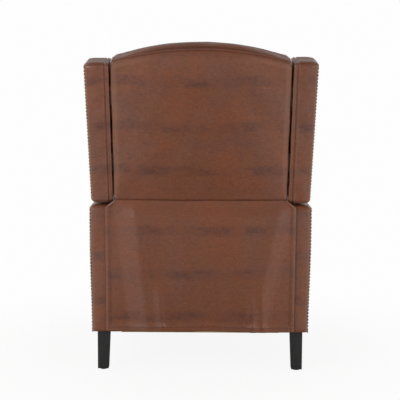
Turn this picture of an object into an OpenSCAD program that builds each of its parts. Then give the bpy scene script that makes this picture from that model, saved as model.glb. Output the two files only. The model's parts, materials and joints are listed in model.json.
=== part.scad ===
// Wingback push-back recliner: a leather-covered chair whose back, seat and footrest move together.
// The chair faces -Y, stands on the plane Z = 0 and is symmetric about X = 0.

/* [Arms and legs] */
// Width across the outer faces of the arms
base_width = 692; // [660:1:740]
// Thickness of one upholstered arm
arm_width = 95; // [85:1:105]
// Length of an arm from its rear face to its front face
arm_length = 715; // [700:1:740]
// Height of the arm's top above the floor
arm_top = 534; // [528:1:538]
// Rounding of the arm's long edges
arm_edge = 12; // [8:1:14]
// Radius of the arm's upper front corner, seen from the side
arm_nose = 40; // [25:1:60]
// Radius of the arm's upper rear corner, seen from the side
arm_heel = 16; // [14:1:22]
// Height of the legs, glides included
leg_height = 126; // [118:1:130]
// Width of a leg at its top
leg_top = 39; // [36:1:42]
// Width of a leg at its foot
leg_foot = 34; // [28:1:36]
// Distance of a leg from the outer faces of the arm
leg_inset = 18; // [12:1:22]

/* [Back] */
// Lean of the upright back from the vertical, in degrees
lean = 13.5; // [12.5:0.5:14.5]
// Height of the seam where the rear flap hangs from the back
seam_z = 553; // [552:1:558]
// Distance of the seam behind the rear faces of the arms
seam_y = 6; // [5:1:10]
// Distance from an arm's outer face to the edge of the outside back, at the seam
back_inset = 75; // [74:1:80]
// Widening of the outside back on each side, from the seam to its top corners
back_flare = 3; // [0:1:5]
// Length of the outside back from the seam to its top corners, along the lean
back_side = 438; // [425:1:445]
// Rise of the arched top above its corners
arch_rise = 38; // [32:1:44]
// Depth of the outside back's border, front to rear
back_depth = 60; // [56:1:66]
// Wall of the outside back and its border
back_wall = 10; // [8:1:12]
// Thickness of the inside back cushion
back_pad = 92; // [80:1:100]
// Depth of a tuft below the crown
tuft_depth = 26; // [15:1:30]

/* [Wings] */
// Gap between the back and a wing
wing_gap = 5; // [4.5:0.5:7]
// Thickness of a wing at its foot
wing_foot = 64; // [60:1:70]
// Thickness of a wing at its top
wing_head = 74; // [70:1:80]
// Length of the wing above the seam, along the lean
wing_rise = 434; // [420:1:440]
// Height of the gap between the arms and the wings
wing_lift = 10; // [9:1:14]
// Rounding of the wing's edges
wing_edge = 12; // [8:1:16]
// Reach of the wing's foot in front of its rear edge
wing_foot_reach = 196; // [170:1:210]
// Reach of the wing's top in front of its rear edge
wing_head_reach = 150; // [130:1:170]
// Fall of the wing's top from its rear edge to its front
wing_head_fall = 11; // [0:1:20]

/* [Flap] */
// Distance from an arm's outer face to the flap's side edge, below its shoulders
flap_inset = 45; // [36:1:56]
// Narrowing of the flap on each side, from its shoulders to its hem
flap_taper = 2; // [0:1:8]
// Height of the flap's cut shoulders
flap_shoulder = 24; // [15:1:32]
// Height of the flap's hem above the floor
flap_hem_z = 124; // [116:1:140]
// Thickness of the flap's cloth with its backing
flap_cloth = 3; // [2:0.5:4]
// Depth of the flap's main folds
flap_fold = 9; // [5:1:11]

/* [Seat] */
// Height of the seat cushion's underside above the floor
cushion_z = 373; // [372:1:380]
// Thickness of the seat cushion at its edge
cushion_edge = 100; // [90:1:105]
// Rise of the cushion's crown above its edge
cushion_crown = 20; // [10:1:26]
// Height of the seat rails
rail_height = 44; // [40:1:44]
// Thickness of the seat rails
rail_thick = 25; // [20:1:28]
// Diameter of the seat's spring wire
spring_wire = 3.8; // [3:0.1:4.2]

/* [Mechanism] */
// Thickness of the steel plates and links
steel = 3; // [2.5:0.1:3]
// Width of a link
link_width = 18; // [16:0.5:19]
// Diameter of the pivot pins
pin_diameter = 8; // [7:0.1:9]
// Radial running clearance of a pin in its bore
pin_clearance = 0.05; // [0.03:0.01:0.1]
// Free gap between neighbouring plates
plate_gap = 0.5; // [0.4:0.05:0.6]
// Height of the back's pivot above the floor
pivot_z = 385; // [380:1:390]
// Distance of the back's pivot in front of the arms' rear faces
pivot_inset = 55; // [52:1:57]
// Length of the hangers that carry the seat
hanger = 120; // [116:1:124]
// Backward tilt of the hangers from the vertical, in degrees
hanger_tilt = 15; // [13:1:17]

/* [Footrest] */
// Height of the footrest panel
rest_height = 219; // [200:1:222]
// Thickness of the footrest's board
rest_board = 12; // [10:1:15]
// Thickness of the footrest's padding at its edge
rest_pad = 37; // [32:1:37]
// Gap between the footrest's sides and the arms
rest_gap = 5; // [4:0.5:8]

/* [Hidden] */
$fn = 48;

leather = [0.45, 0.30, 0.24];
timber = [0.72, 0.56, 0.38];
dark_wood = [0.13, 0.12, 0.12];
steel_grey = [0.35, 0.36, 0.38];
cloth_grey = [0.25, 0.25, 0.26];

// Clearances and cutters shared by all pieces
overrun = 1;
rest_clearance = 0.3;
arc_steps = 4;
boss_share = 1.2;
edge_turns = [0:30:90];
edge_returns = [90:-30:0];

// Lanes between an arm and the seat, measured from the arm's inner face
back_room = 14;
rail_room = 39;
arm_inner = base_width / 2 - arm_width;
lower_half = arm_inner - back_room;
rail_face = arm_inner - rail_room;
bracket_x = lower_half + rest_clearance;
bore = pin_diameter + 2 * pin_clearance;

// Sizes of the back that several pieces share
seam_half = base_width / 2 - back_inset;
head_half = seam_half + back_flare;
flap_half_width = base_width / 2 - flap_inset;
rear_bulge = 3;
arch_radius = (head_half ^ 2 + arch_rise ^ 2) / (2 * arch_rise);
rear_reach = seam_y + (back_side + arch_rise) * sin(lean);
frame_y = (arm_length - rear_reach) / 2;

// Small geometry helpers

function lerp(a, b, t) = a + (b - a) * t;
function along(v) = v / norm(v);
function turned(p, a) = [p[0] * cos(a) - p[1] * sin(a), p[0] * sin(a) + p[1] * cos(a)];
function middle(points, i = 0) =
    i == len(points) ? 0 * points[0] : points[i] / len(points) + middle(points, i + 1);
function shrunk(points, share) = let (c = middle(points)) [for (p = points) lerp(c, p, share)];

// Arc that rounds the corner b between a and c
function corner(a, b, c, r, n) =
    r == 0 ? [b] :
    let (u = along(a - b), w = along(c - b), half = acos(u * w) / 2,
         centre = b + along(u + w) * r / sin(half),
         start = b + u * r / tan(half) - centre,
         side = cross(u, w) > 0 ? -1 : 1)
    [for (i = [0:n]) centre + turned(start, side * (180 - 2 * half) * i / n)];

// Closed outline with a rounding radius at each of its points
function rounded(points, radii, n = arc_steps) =
    let (last = len(points) - 1)
    [for (i = [0:last])
        each corner(points[i == 0 ? last : i - 1], points[i], points[i == last ? 0 : i + 1], radii[i], n)];

// Outline moved inwards by d; edges that face down move by low_share of it
function inset(points, d, low_share = 1) =
    let (last = len(points) - 1)
    [for (i = [0:last])
        let (t = along(points[i == last ? 0 : i + 1] - points[i == 0 ? last : i - 1]))
        points[i] - d * [t[1], -t[0] * (t[0] > 0 ? low_share : 1)]];

// Distances and insets that round both edges of a slab
function edge_profile(width, r) = concat(
    [for (a = edge_turns) [r * (1 - cos(a)), r * (1 - sin(a))]],
    [for (a = edge_returns) [width - r * (1 - cos(a)), r * (1 - sin(a))]]);

function ring_faces(k, n) =
    [for (i = [0:n - 1]) let (a = k * n + i, b = k * n + (i + 1) % n) each [[a, a + n, b + n], [a, b + n, b]]];

// Closed skin over rings of equal count, each running counterclockwise as seen from the last ring's end
module skin(rings) {
    n = len(rings[0]);
    top = (len(rings) - 1) * n;
    first_hub = len(rings) * n;
    polyhedron(
        concat([for (ring = rings) each ring], [middle(rings[0]), middle(rings[len(rings) - 1])]),
        concat(
            [for (k = [0:len(rings) - 2]) each ring_faces(k, n)],
            [for (i = [0:n - 1]) [first_hub, i, (i + 1) % n]],
            [for (i = [0:n - 1]) [first_hub + 1, top + (i + 1) % n, top + i]]),
        convexity = 6);
}

function grid_faces(rows, columns, first, flip) =
    [for (i = [0:rows - 2], j = [0:columns - 2])
        let (a = first + i * columns + j, b = a + 1, c = a + columns, d = c + 1)
        each flip ? [[a, b, c], [b, d, c]] : [[a, c, b], [b, c, d]]];

// Indices round the border of a grid, starting along its first row
function border(rows, columns) = concat(
    [for (j = [0:columns - 2]) j],
    [for (i = [0:rows - 2]) i * columns + columns - 1],
    [for (j = [columns - 1:-1:1]) (rows - 1) * columns + j],
    [for (i = [rows - 1:-1:1]) i * columns]);

// Placing

// Plate outline drawn in the side view, extruded across the chair from x
module side_plate(x, thickness) {
    translate([x, 0, 0]) rotate([90, 0, 90]) linear_extrude(thickness) children();
}

// Outline drawn across the back, extruded forwards from a depth v behind which nothing of it lies
module back_slab(v, depth) {
    translate([0, -v, 0]) rotate([90, 0, 0]) linear_extrude(depth) children();
}

module both_sides() {
    children();
    mirror([1, 0, 0]) children();
}

// Frame of the back: origin on the seam, its Z along the lean
module on_back() {
    translate([0, seam_y, seam_z]) rotate([-lean, 0, 0]) children();
}

// Side-view place of a point v in front of the back's rear face and w above the seam
function back_point(v, w) =
    [seam_y - v * cos(lean) + w * sin(lean), seam_z + v * sin(lean) + w * cos(lean)];
// Height along the lean of the level z, at a distance v in front of the rear face
function level_w(v, z) = (z - seam_z - v * sin(lean)) / cos(lean);

// Flat strip from a to b, drawn in the side view
module strip(a, b, width) {
    translate(a) rotate(atan2(b[1] - a[1], b[0] - a[0])) translate([0, -width / 2]) square([norm(b - a), width]);
}

// Chain of strips through the given places, with a boss wider than the strip at each
module bossed(places, width) {
    for (k = [1:len(places) - 1]) strip(places[k - 1], places[k], width);
    for (p = places) translate(p) circle(d = width * boss_share);
}

module pin(p, from, to, diameter = pin_diameter) {
    side_plate(from, to - from) translate(p) circle(d = diameter);
}

// Arms, legs and the base's cross rails

arm_toe = 13;
arm_low_share = 0.25;

module arm() {
    outline = rounded(
        [[-arm_length, leg_height], [0, leg_height], [0, arm_top], [-arm_length, arm_top]],
        [arm_toe, arm_toe, arm_heel, arm_nose]);
    skin([for (e = edge_profile(arm_width, arm_edge))
        [for (p = inset(outline, e[1], arm_low_share)) [arm_inner + e[0], p[0], p[1]]]]);
}

module left_arm() { color(leather) arm(); }
module right_arm() { color(leather) mirror([1, 0, 0]) arm(); }

cross_rail_thick = 25;
rear_rail_height = 74;
rear_rail_inset = 5;
front_rail_height = 40;
seat_setback = 59;
seat_front = arm_length - seat_setback;
front_rail_step = 121;
front_rail_inset = seat_front - front_rail_step;

module cross_rail(inset_y, height) {
    translate([-arm_inner, -inset_y - cross_rail_thick, leg_height]) cube([2 * arm_inner, cross_rail_thick, height]);
}

module front_cross_rail() { color(timber) cross_rail(front_rail_inset, front_rail_height); }
module rear_cross_rail() { color(timber) cross_rail(rear_rail_inset, rear_rail_height); }

glide_height = 4;
glide_diameter = 22;
leg_end_inset = 15;

// A leg's outline: its outer edge is upright and its inner edge tapers towards the foot
module leg_side(outer, inward) {
    polygon([[outer, glide_height], [outer, leg_height], [outer + inward * leg_top, leg_height],
             [outer + inward * leg_foot, glide_height]]);
}

module leg(end, inward) {
    outer_x = base_width / 2 - leg_inset;
    intersection() {
        translate([0, end + overrun, 0]) rotate([90, 0, 0])
            linear_extrude(arm_length + 2 * overrun) leg_side(outer_x, -1);
        side_plate(outer_x - leg_top - overrun, leg_top + 2 * overrun) leg_side(end, inward);
    }
}

module rear_leg() { leg(-leg_end_inset, -1); }
module front_leg() {
    outer_x = base_width / 2 - leg_inset;
    intersection() {
        rotate([90, 0, 0]) linear_extrude(arm_length) leg_side(outer_x, -1);
        side_plate(outer_x - leg_top - overrun, leg_top + 2 * overrun) leg_side(-arm_length + leg_end_inset, 1);
    }
}

module front_left_leg() { color(dark_wood) front_leg(); }
module front_right_leg() { color(dark_wood) mirror([1, 0, 0]) front_leg(); }
module rear_left_leg() { color(dark_wood) rear_leg(); }
module rear_right_leg() { color(dark_wood) mirror([1, 0, 0]) rear_leg(); }

module leg_glides() {
    x = base_width / 2 - leg_inset - leg_foot / 2;
    color(cloth_grey) both_sides() for (y = [-leg_end_inset - leg_foot / 2, -arm_length + leg_end_inset + leg_foot / 2])
        translate([x, y, 0]) cylinder(d = glide_diameter, h = glide_height);
}

// Pivots of the mechanism, as [Y, Z] before the part is centred

hanger_setback = 228;
hanger_inset = arm_length - hanger_setback;
hanger_z = 345;
hanger_step = hanger * [sin(hanger_tilt), -cos(hanger_tilt)];
back_pivot = [-pivot_inset, pivot_z];
back_seat_pivot = back_pivot + hanger_step;
hanger_pivot = [-hanger_inset, hanger_z];
hanger_seat_pivot = hanger_pivot + hanger_step;

root_setback = 109;
root_inset = arm_length - root_setback;
root_z = 325;
link_near = 85;
link_far = 95;
cross_near = 45;
cross_far = 100;
link_angle = -98;
cross_angle = 78;
link_swing = 82;
link_root = [-root_inset, root_z];

// Step of length r, at an angle above straight ahead
function ahead(a, r) = [-r * cos(a), r * sin(a)];
// Joints of the footrest linkage at a share t of its swing, with the seat's frame at rest
function mid_joint(t) = link_root + ahead(link_angle + link_swing * t, link_near);
function end_joint(t) = link_root + ahead(link_angle + link_swing * t, link_near + link_far);
function rest_joint(t) = mid_joint(t) + ahead(cross_angle - link_swing * t, cross_far);
function cam_joint(t) = mid_joint(t) - ahead(cross_angle - link_swing * t, cross_near);
function low_joint(t) = rest_joint(t) + ahead(link_angle + link_swing * t, link_far);

// Left face of a plate in lane n of the linkage
function lane(n) = rail_face + n * (steel + plate_gap);

collar_diameter = 14;

// Base plates on the arms' inner faces

base_plate_x = arm_inner - steel;
base_bar_width = 32;
base_bar_z = 235;
base_bar_step = 13;
base_bar_front = hanger_inset + base_bar_step;
base_bar_rear = 80;
base_hole = 5;
base_hole_shares = [0.06, 0.28, 0.5, 0.72, 0.94];

module base_plate() {
    rear = [-base_bar_rear, base_bar_z];
    front = [-base_bar_front, base_bar_z];
    side_plate(base_plate_x, steel) difference() {
        bossed([back_pivot, rear, front, hanger_pivot], base_bar_width);
        translate(back_pivot) circle(d = bore);
        translate(hanger_pivot) circle(d = bore);
        for (share = base_hole_shares) translate(lerp(rear, front, share)) circle(d = base_hole);
    }
}

module left_base_plate() { color(steel_grey) base_plate(); }
module right_base_plate() { color(steel_grey) mirror([1, 0, 0]) base_plate(); }

module base_pins() {
    color(steel_grey) both_sides() for (p = [back_pivot, hanger_pivot]) {
        pin(p, bracket_x, arm_inner);
        pin(p, bracket_x + steel + plate_gap, base_plate_x - plate_gap, collar_diameter);
    }
}

// Back

back_corner = 11;
back_edge = 8;
back_arch_steps = 12;
back_flat_share = 0.72;
back_slope_share = 0.9;

function arch(x) = back_side + arch_rise - arch_radius + sqrt(arch_radius ^ 2 - x ^ 2);

back_outline = rounded(
    concat([[-seam_half, 0], [seam_half, 0], [head_half, back_side]],
           [for (k = [1:back_arch_steps - 1])
                let (x = head_half * (1 - 2 * k / back_arch_steps)) [x, arch(x)]],
           [[-head_half, back_side]]),
    concat([0, 0, back_corner], [for (k = [1:back_arch_steps - 1]) 0], [back_corner]));

// Ring of the back's skin at a distance v behind its rear face
function back_ring(points, v) = [for (p = points) [p[0], v, p[1]]];

module outside_back() {
    cavity = inset(back_outline, back_wall);
    color(leather) on_back() difference() {
        skin(concat(
            [back_ring(shrunk(back_outline, back_flat_share), rear_bulge),
             back_ring(shrunk(back_outline, back_slope_share), rear_bulge * back_slope_share ^ 2)],
            [for (a = edge_turns)
                back_ring(inset(back_outline, back_edge * (1 - sin(a)), 0), -back_edge * (1 - cos(a)))],
            [back_ring(back_outline, -back_depth)]));
        back_slab(back_wall, back_depth) polygon(cavity);
        back_slab(back_wall, back_depth) translate([-cavity[1][0], -overrun])
            square([2 * cavity[1][0], back_wall + 2 * overrun]);
    }
}

stile_thick = 21;
stile_drop = 13;
stile_top = back_side - stile_drop;
stile_bottom = 215;
frame_room = 2;
frame_rear = back_wall + frame_room;
frame_front = back_depth - frame_room;
frame_half = seam_half - back_wall - rest_clearance;
arch_room = 1;
shoulder_rail_w = 12;
shoulder_rail_height = 50;
top_rail_drop = 46;
top_rail_w = back_side - top_rail_drop;
bottom_rail_height = 50;
lumbar_rail_w = -70;
lumbar_rail_height = 40;
frame_depth = frame_front - frame_rear;

// Boards of the back's frame lie between frame_rear and frame_front
module frame_board() {
    back_slab(frame_rear, frame_depth) children();
}

module board_between(low, high, from, to) {
    frame_board() translate([from, low]) square([to - from, high - low]);
}

// Piece of the frame's arched top from x = from to x = to
module arched_board(from, to) {
    frame_board() polygon(concat([[to, top_rail_w], [from, top_rail_w]],
        [for (k = [0:back_arch_steps]) let (x = lerp(from, to, k / back_arch_steps))
            [x, arch(x) - back_wall - arch_room]]));
}

module back_stiles() {
    color(timber) both_sides() on_back() {
        board_between(-stile_bottom, stile_top, lower_half - stile_thick, lower_half);
        board_between(shoulder_rail_w, shoulder_rail_w + shoulder_rail_height, lower_half, frame_half);
        for (w = wing_bracket_places)
            board_between(w - wing_block_height / 2, w + wing_block_height / 2, lower_half, frame_half);
        arched_board(lower_half - stile_thick, frame_half);
    }
}

module back_rails() {
    inner = lower_half - stile_thick;
    color(timber) on_back() {
        board_between(-stile_bottom, bottom_rail_height - stile_bottom, -inner, inner);
        board_between(lumbar_rail_w, lumbar_rail_w + lumbar_rail_height, -inner, inner);
        board_between(shoulder_rail_w, shoulder_rail_w + shoulder_rail_height, -inner, inner);
        arched_board(-inner, inner);
    }
}

strap_width = 50;
strap_thick = 2;
strap_places = [100, 170, 240, 310, 375];
strap_columns = [50, 145];

module back_webbing() {
    color(cloth_grey) on_back() {
        for (w = strap_places) back_slab(frame_front, strap_thick)
            translate([-lower_half, w - strap_width / 2]) square([2 * lower_half, strap_width]);
        both_sides() for (x = strap_columns) back_slab(frame_front, strap_thick)
            translate([x - strap_width / 2, shoulder_rail_w]) square([strap_width, stile_top - shoulder_rail_w]);
    }
}

// Inside back: a cushion with buttons in a diamond pattern and creases that join them
pad_rear = frame_front + strap_thick + rest_clearance;
pad_rim = 56;
pad_rim_bulge = 3;
pad_side_gap = 8;
pad_edge_gap = 3;
pad_lower_half = arm_inner - pad_side_gap;
pad_upper_half = seam_half - pad_edge_gap;
pad_bottom = -195;
pad_widen_from = 10;
pad_widen_to = 46;
pad_top_gap = 3;
pad_arch_drop = 63;
pad_arch_from = back_side - pad_arch_drop;
tuft_pitch_x = 65;
tuft_pitch_w = 80;
tuft_first_w = 10;
tuft_rows = 5;
tuft_columns = 2;
tuft_spread = 24;
crease_depth = 11;
crease_width_share = 0.2;
pad_fullness = 70;
grid_share = 1 / 3;
pad_border = 16;
button_diameter = 24;
button_height = 8;
button_edge = 3;
button_steps = 4;

tufts = [for (r = [0:tuft_rows - 1], c = [-tuft_columns:tuft_columns])
    if ((r + c + tuft_columns) % 2 == 0) [c * tuft_pitch_x, tuft_first_w + r * tuft_pitch_w]];

function smooth(t) = let (s = min(1, max(0, t))) s * s * (3 - 2 * s);
function pad_half(w) =
    lerp(pad_lower_half, pad_upper_half, smooth((w - pad_widen_from) / (pad_widen_to - pad_widen_from)));
function pad_top(x) = arch(x) - pad_top_gap;
function off_line(u) = abs(u - 2 * round(u / 2));
function near_line(u) = exp(-(off_line(u) / crease_width_share) ^ 2);
// How far inside the tufted field a place lies, from 0 outside to 1
function in_field(x, w) =
    smooth((tuft_columns + 0.6 - abs(x) / tuft_pitch_x) / 0.6)
    * smooth((w - tuft_first_w) / tuft_pitch_w + 0.6)
    * smooth(tuft_rows - 0.4 - (w - tuft_first_w) / tuft_pitch_w);
function pit(x, w, i = 0) =
    i == len(tufts) ? 0 : max(exp(-(norm([x, w] - tufts[i]) / tuft_spread) ^ 2), pit(x, w, i + 1));
function crown(x, w) =
    let (edge = min(pad_half(w) - abs(x), w - pad_bottom, pad_top(x) - w))
    sqrt(1 - (1 - min(1, max(0, edge) / pad_fullness)) ^ 2);
function pad_depth(x, w) =
    let (u = x / tuft_pitch_x, s = (w - tuft_first_w) / tuft_pitch_w)
    lerp(pad_rim, back_pad, crown(x, w)) - tuft_depth * pit(x, w)
    - crease_depth * in_field(x, w) * max(near_line(u + s), near_line(u - s)) * (1 - pit(x, w));

pad_columns = floor((pad_lower_half - pad_border) / (tuft_pitch_x * grid_share));
pad_rows = floor((pad_arch_from - pad_bottom - pad_border) / (tuft_pitch_w * grid_share));
// Heights of the level rows, and shares of the way from the last of them to the arched top
pad_levels = concat([pad_bottom, pad_bottom + pad_border],
    [for (i = [1:pad_rows]) pad_bottom + pad_border + i * (pad_arch_from - pad_bottom - pad_border) / pad_rows]);
pad_arch_shares = [0.4, 0.75, 1];

function pad_row_w(i, x) = i < len(pad_levels) ? pad_levels[i]
    : lerp(pad_levels[len(pad_levels) - 1], pad_top(x), pad_arch_shares[i - len(pad_levels)]);
function pad_column_x(j, half) =
    let (c = j - pad_columns - 1)
    abs(c) > pad_columns ? sign(c) * half
    : c * tuft_pitch_x * grid_share * lerp(1, (half - pad_border) / (pad_columns * tuft_pitch_x * grid_share),
                                           max(0, abs(c) - pad_columns + 1));

module pad_body() {
    rows = len(pad_levels) + len(pad_arch_shares);
    columns = 2 * pad_columns + 3;
    face = [for (i = [rows - 1:-1:0], j = [0:columns - 1])
        let (x = pad_column_x(j, pad_half(pad_row_w(i, 0))), w = pad_row_w(i, x))
        [x, -pad_rear - pad_depth(x, w), w]];
    loop = border(rows, columns);
    n = len(loop);
    centre = middle([for (k = loop) face[k]]);
    bulged = [for (k = loop) let (p = face[k], out = along([p[0] - centre[0], p[2] - centre[2]]) * pad_rim_bulge)
        [p[0] + out[0], -pad_rear - pad_rim / 2, p[2] + out[1]]];
    rear = [for (k = loop) [face[k][0], -pad_rear, face[k][2]]];
    first = len(face);
    polyhedron(
        concat(face, bulged, rear, [[centre[0], -pad_rear, centre[2]]]),
        concat(
            grid_faces(rows, columns, 0, true),
            [for (k = [0:n - 1]) let (a = loop[k], b = loop[(k + 1) % n], c = first + k, d = first + (k + 1) % n)
                each [[a, c, b], [b, c, d]]],
            [for (k = [0:n - 1]) let (a = first + k, b = first + (k + 1) % n)
                each [[a, a + n, b], [b, a + n, b + n], [a + n, first + 2 * n, b + n]]]),
        convexity = 8);
}

// Carries its children to each button's seat on the inside back, with their Z pointing forwards
module at_tufts() {
    for (t = tufts) translate([t[0], -pad_rear - pad_depth(t[0], t[1]), t[1]]) rotate([90, 0, 0]) children();
}

module inside_back() {
    color(leather) on_back() difference() {
        pad_body();
        at_tufts() cylinder(d = button_diameter + 2 * rest_clearance, h = tuft_depth);
    }
}

module tuft_buttons() {
    radius = button_diameter / 2;
    dome = button_height - button_edge;
    color(leather) on_back() at_tufts() translate([0, 0, rest_clearance]) rotate_extrude()
        polygon(concat([[0, 0], [radius, 0]],
            [for (i = [0:button_steps]) let (a = 90 * i / button_steps)
                [radius * cos(a), button_edge + dome * sin(a)]]));
}

// Wings

wing_rear = 3;
wing_heel = 18;
wing_toe = 22;
wing_crest = 55;
wing_peak = 14;
wing_curves = [320, 400, 500];
// Places down the front edge: share of the reach at the foot, and share of the wing's height
wing_front_shares = [[1.18, 0.19], [1.2, 0.41], [1.04, 0.69]];

module wing() {
    bottom_z = arm_top + wing_lift;
    foot_v = wing_rear + wing_foot_reach;
    foot_w = level_w(foot_v, bottom_z);
    rise = wing_rise - foot_w;
    outline = rounded(
        concat([[-foot_v, foot_w], [-wing_rear, level_w(wing_rear, bottom_z)], [-wing_rear, wing_rise],
                [-wing_head_reach, wing_rise - wing_head_fall]],
               [for (i = [2:-1:0]) [-foot_v * wing_front_shares[i][0], foot_w + rise * wing_front_shares[i][1]]]),
        [wing_toe, wing_heel, wing_peak, wing_crest, wing_curves[2], wing_curves[1], wing_curves[0]]);
    on_back() skin([for (e = edge_profile(wing_foot, wing_edge))
        [for (p = inset(outline, e[1]))
            let (share = p[1] / back_side,
                 inner = lerp(seam_half, head_half, share) + wing_gap,
                 stretch = lerp(wing_foot, wing_head, share) / wing_foot)
            [inner + e[0] * stretch, p[0], p[1]]]]);
}

module left_wing() { color(leather) wing(); }
module right_wing() { color(leather) mirror([1, 0, 0]) wing(); }

wing_bracket_places = [120, 330];
wing_bracket_height = 60;
wing_bracket_depth = 32;
wing_block_height = 80;

module wing_brackets() {
    slope = atan((head_half - seam_half) / back_side);
    color(steel_grey) both_sides() on_back() for (w = wing_bracket_places)
        translate([lerp(seam_half, head_half, w / back_side) + rest_clearance, -frame_rear - wing_bracket_depth, w])
            rotate([0, slope, 0]) translate([0, 0, -wing_bracket_height / 2])
                cube([wing_gap - 2 * rest_clearance, wing_bracket_depth, wing_bracket_height]);
}

// Back brackets

bracket_width = 26;
bracket_top_w = -60;
bracket_hole_shares = [0.35, 0.65, 0.95];

module back_bracket() {
    top = back_point((frame_rear + frame_front) / 2, bracket_top_w);
    side_plate(bracket_x, steel) difference() {
        bossed([top, back_pivot, back_seat_pivot], bracket_width);
        translate(back_pivot) circle(d = bore);
        translate(back_seat_pivot) circle(d = bore);
        for (share = bracket_hole_shares) translate(lerp(back_pivot, top, share)) circle(d = base_hole);
    }
}

module left_back_bracket() { color(steel_grey) back_bracket(); }
module right_back_bracket() { color(steel_grey) mirror([1, 0, 0]) back_bracket(); }

// Rear flap: hanging cloth with its main folds

flap_columns = 30;
flap_rows = 15;
// Folds: place across at the seam and at the hem, width, depth share, and where each begins going down
fold_top_places = [236, -262, 150, -150, -196];
fold_hem_places = [188, -256, 121, -166, -198];
fold_widths = [26, 20, 16, 14, 14];
fold_depth_shares = [1, 0.8, 0.45, 0.4, 0.4];
fold_start_shares = [0, 0.1, 0.6, 0.65, 0.65];
flap_shoulder_steps = 2;

function flap_drop() = seam_z - rest_clearance - flap_hem_z;
function flap_z(i) = seam_z - rest_clearance - (i <= flap_shoulder_steps
    ? flap_shoulder * i / flap_shoulder_steps
    : lerp(flap_shoulder, flap_drop(), (i - flap_shoulder_steps) / (flap_rows - 1 - flap_shoulder_steps)));
function flap_half(z) = let (down = seam_z - z)
    down < flap_shoulder ? lerp(seam_half, flap_half_width, down / flap_shoulder)
    : flap_half_width - flap_taper * (down - flap_shoulder) / (flap_drop() - flap_shoulder);
function fold(k, x, share) =
    fold_depth_shares[k] * smooth((share - fold_start_shares[k]) / (1 - fold_start_shares[k]) * 2)
    * exp(-((x - lerp(fold_top_places[k], fold_hem_places[k], share)) / fold_widths[k]) ^ 2);
function folds(x, share, k = 0) = k == len(fold_widths) ? 0 : fold(k, x, share) + folds(x, share, k + 1);
function flap_y(x, z) = seam_y + flap_fold * folds(x, (seam_z - z) / flap_drop());

module rear_flap() {
    points = [for (i = [0:flap_rows - 1], j = [0:flap_columns - 1])
        let (z = flap_z(i), x = flap_half(z) * (2 * j / (flap_columns - 1) - 1)) [x, flap_y(x, z), z]];
    first = len(points);
    loop = border(flap_rows, flap_columns);
    n = len(loop);
    color(leather) polyhedron(
        concat(points, [for (p = points) p - [0, flap_cloth, 0]]),
        concat(
            grid_faces(flap_rows, flap_columns, 0, false),
            grid_faces(flap_rows, flap_columns, first, true),
            [for (k = [0:n - 1]) let (a = loop[k], b = loop[(k + 1) % n])
                each [[a, b, first + a], [b, first + b, first + a]]]),
        convexity = 8);
}

// Seat frame, springs and cushion

deck_room = 11;
rail_top = cushion_z - deck_room;
rail_z = rail_top - rail_height;
seat_rear = 205;

module seat_rail_across(inset_y) {
    translate([-rail_face, -inset_y, rail_z]) cube([2 * rail_face, rail_thick, rail_height]);
}

module seat_rail_side() {
    translate([rail_face - rail_thick, -seat_front + rail_thick, rail_z])
        cube([rail_thick, seat_front - seat_rear - 2 * rail_thick, rail_height]);
}

module front_seat_rail() { color(timber) seat_rail_across(seat_front); }
module rear_seat_rail() { color(timber) seat_rail_across(seat_rear + rail_thick); }
module left_seat_rail() { color(timber) seat_rail_side(); }
module right_seat_rail() { color(timber) mirror([1, 0, 0]) seat_rail_side(); }

spring_places = [52, 150];
spring_swing = 24;
spring_waves = 8;
spring_wave_steps = 6;
spring_sides = 5;
spring_end_inset = 10;

function spring_point(t) =
    [spring_swing * sin(360 * spring_waves * t),
     lerp(-seat_front + spring_end_inset, -seat_rear - spring_end_inset, t)];

module seat_spring() {
    count = spring_waves * spring_wave_steps;
    step = 1 / count;
    skin([for (k = [0:count])
        let (p = spring_point(k * step), t = along(spring_point((k + 1) * step) - spring_point((k - 1) * step)),
             r = spring_wire / 2)
        [for (i = [0:spring_sides - 1]) let (a = 360 * i / spring_sides)
            [p[0] - t[1] * r * cos(a), p[1] + t[0] * r * cos(a), rail_top + r + r * sin(a)]]]);
}

module seat_springs() {
    color(steel_grey) both_sides() for (x = spring_places) translate([x, 0, 0]) seat_spring();
}

deck_thick = 6;
deck_inset = 6;

module seat_deck() {
    color(cloth_grey) translate([-rail_face + deck_inset, -seat_front + deck_inset, rail_top + spring_wire + rest_clearance])
        cube([2 * (rail_face - deck_inset), seat_front - seat_rear - 2 * deck_inset, deck_thick]);
}

// Outline of a cushion between two corners, its sides drawn in at their middles
function drawn_outline(half, low, high, r, draw, n) =
    let (c = [[-half, low], [half, low], [half, high], [-half, high]])
    rounded(
        [for (s = [0:3], k = [0:n - 1])
            let (a = c[s], b = c[(s + 1) % 4], t = k / n, u = along(b - a))
            lerp(a, b, t) + [-u[1], u[0]] * draw * 4 * t * (1 - t)],
        [for (s = [0:3], k = [0:n - 1]) k == 0 ? r : 0]);

cushion_gap = 5;
cushion_setback = 3;
cushion_front = arm_length - cushion_setback;
cushion_rear = 196;
cushion_corner = 26;
cushion_draw = 4;
cushion_side_steps = 5;
cushion_edge_round = 6;
cushion_waist = 4;
// Crown of a cushion: share of its outline, and share of its rise
crown_shares = [[0.9, 0.45], [0.72, 0.78], [0.45, 0.95], [0.2, 1]];

// Rings up a cushion: a flat base, welted edges with a drawn-in waist between them, and the crown
function cushion_rings(outline, edge, rise, r, waist) = concat(
    [[shrunk(outline, crown_shares[1][0]), 0], [inset(outline, r), 0], [outline, r],
     [inset(outline, waist), edge / 2], [outline, edge - r], [inset(outline, r), edge]],
    [for (c = crown_shares) [shrunk(outline, c[0]), edge + rise * c[1]]]);

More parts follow.
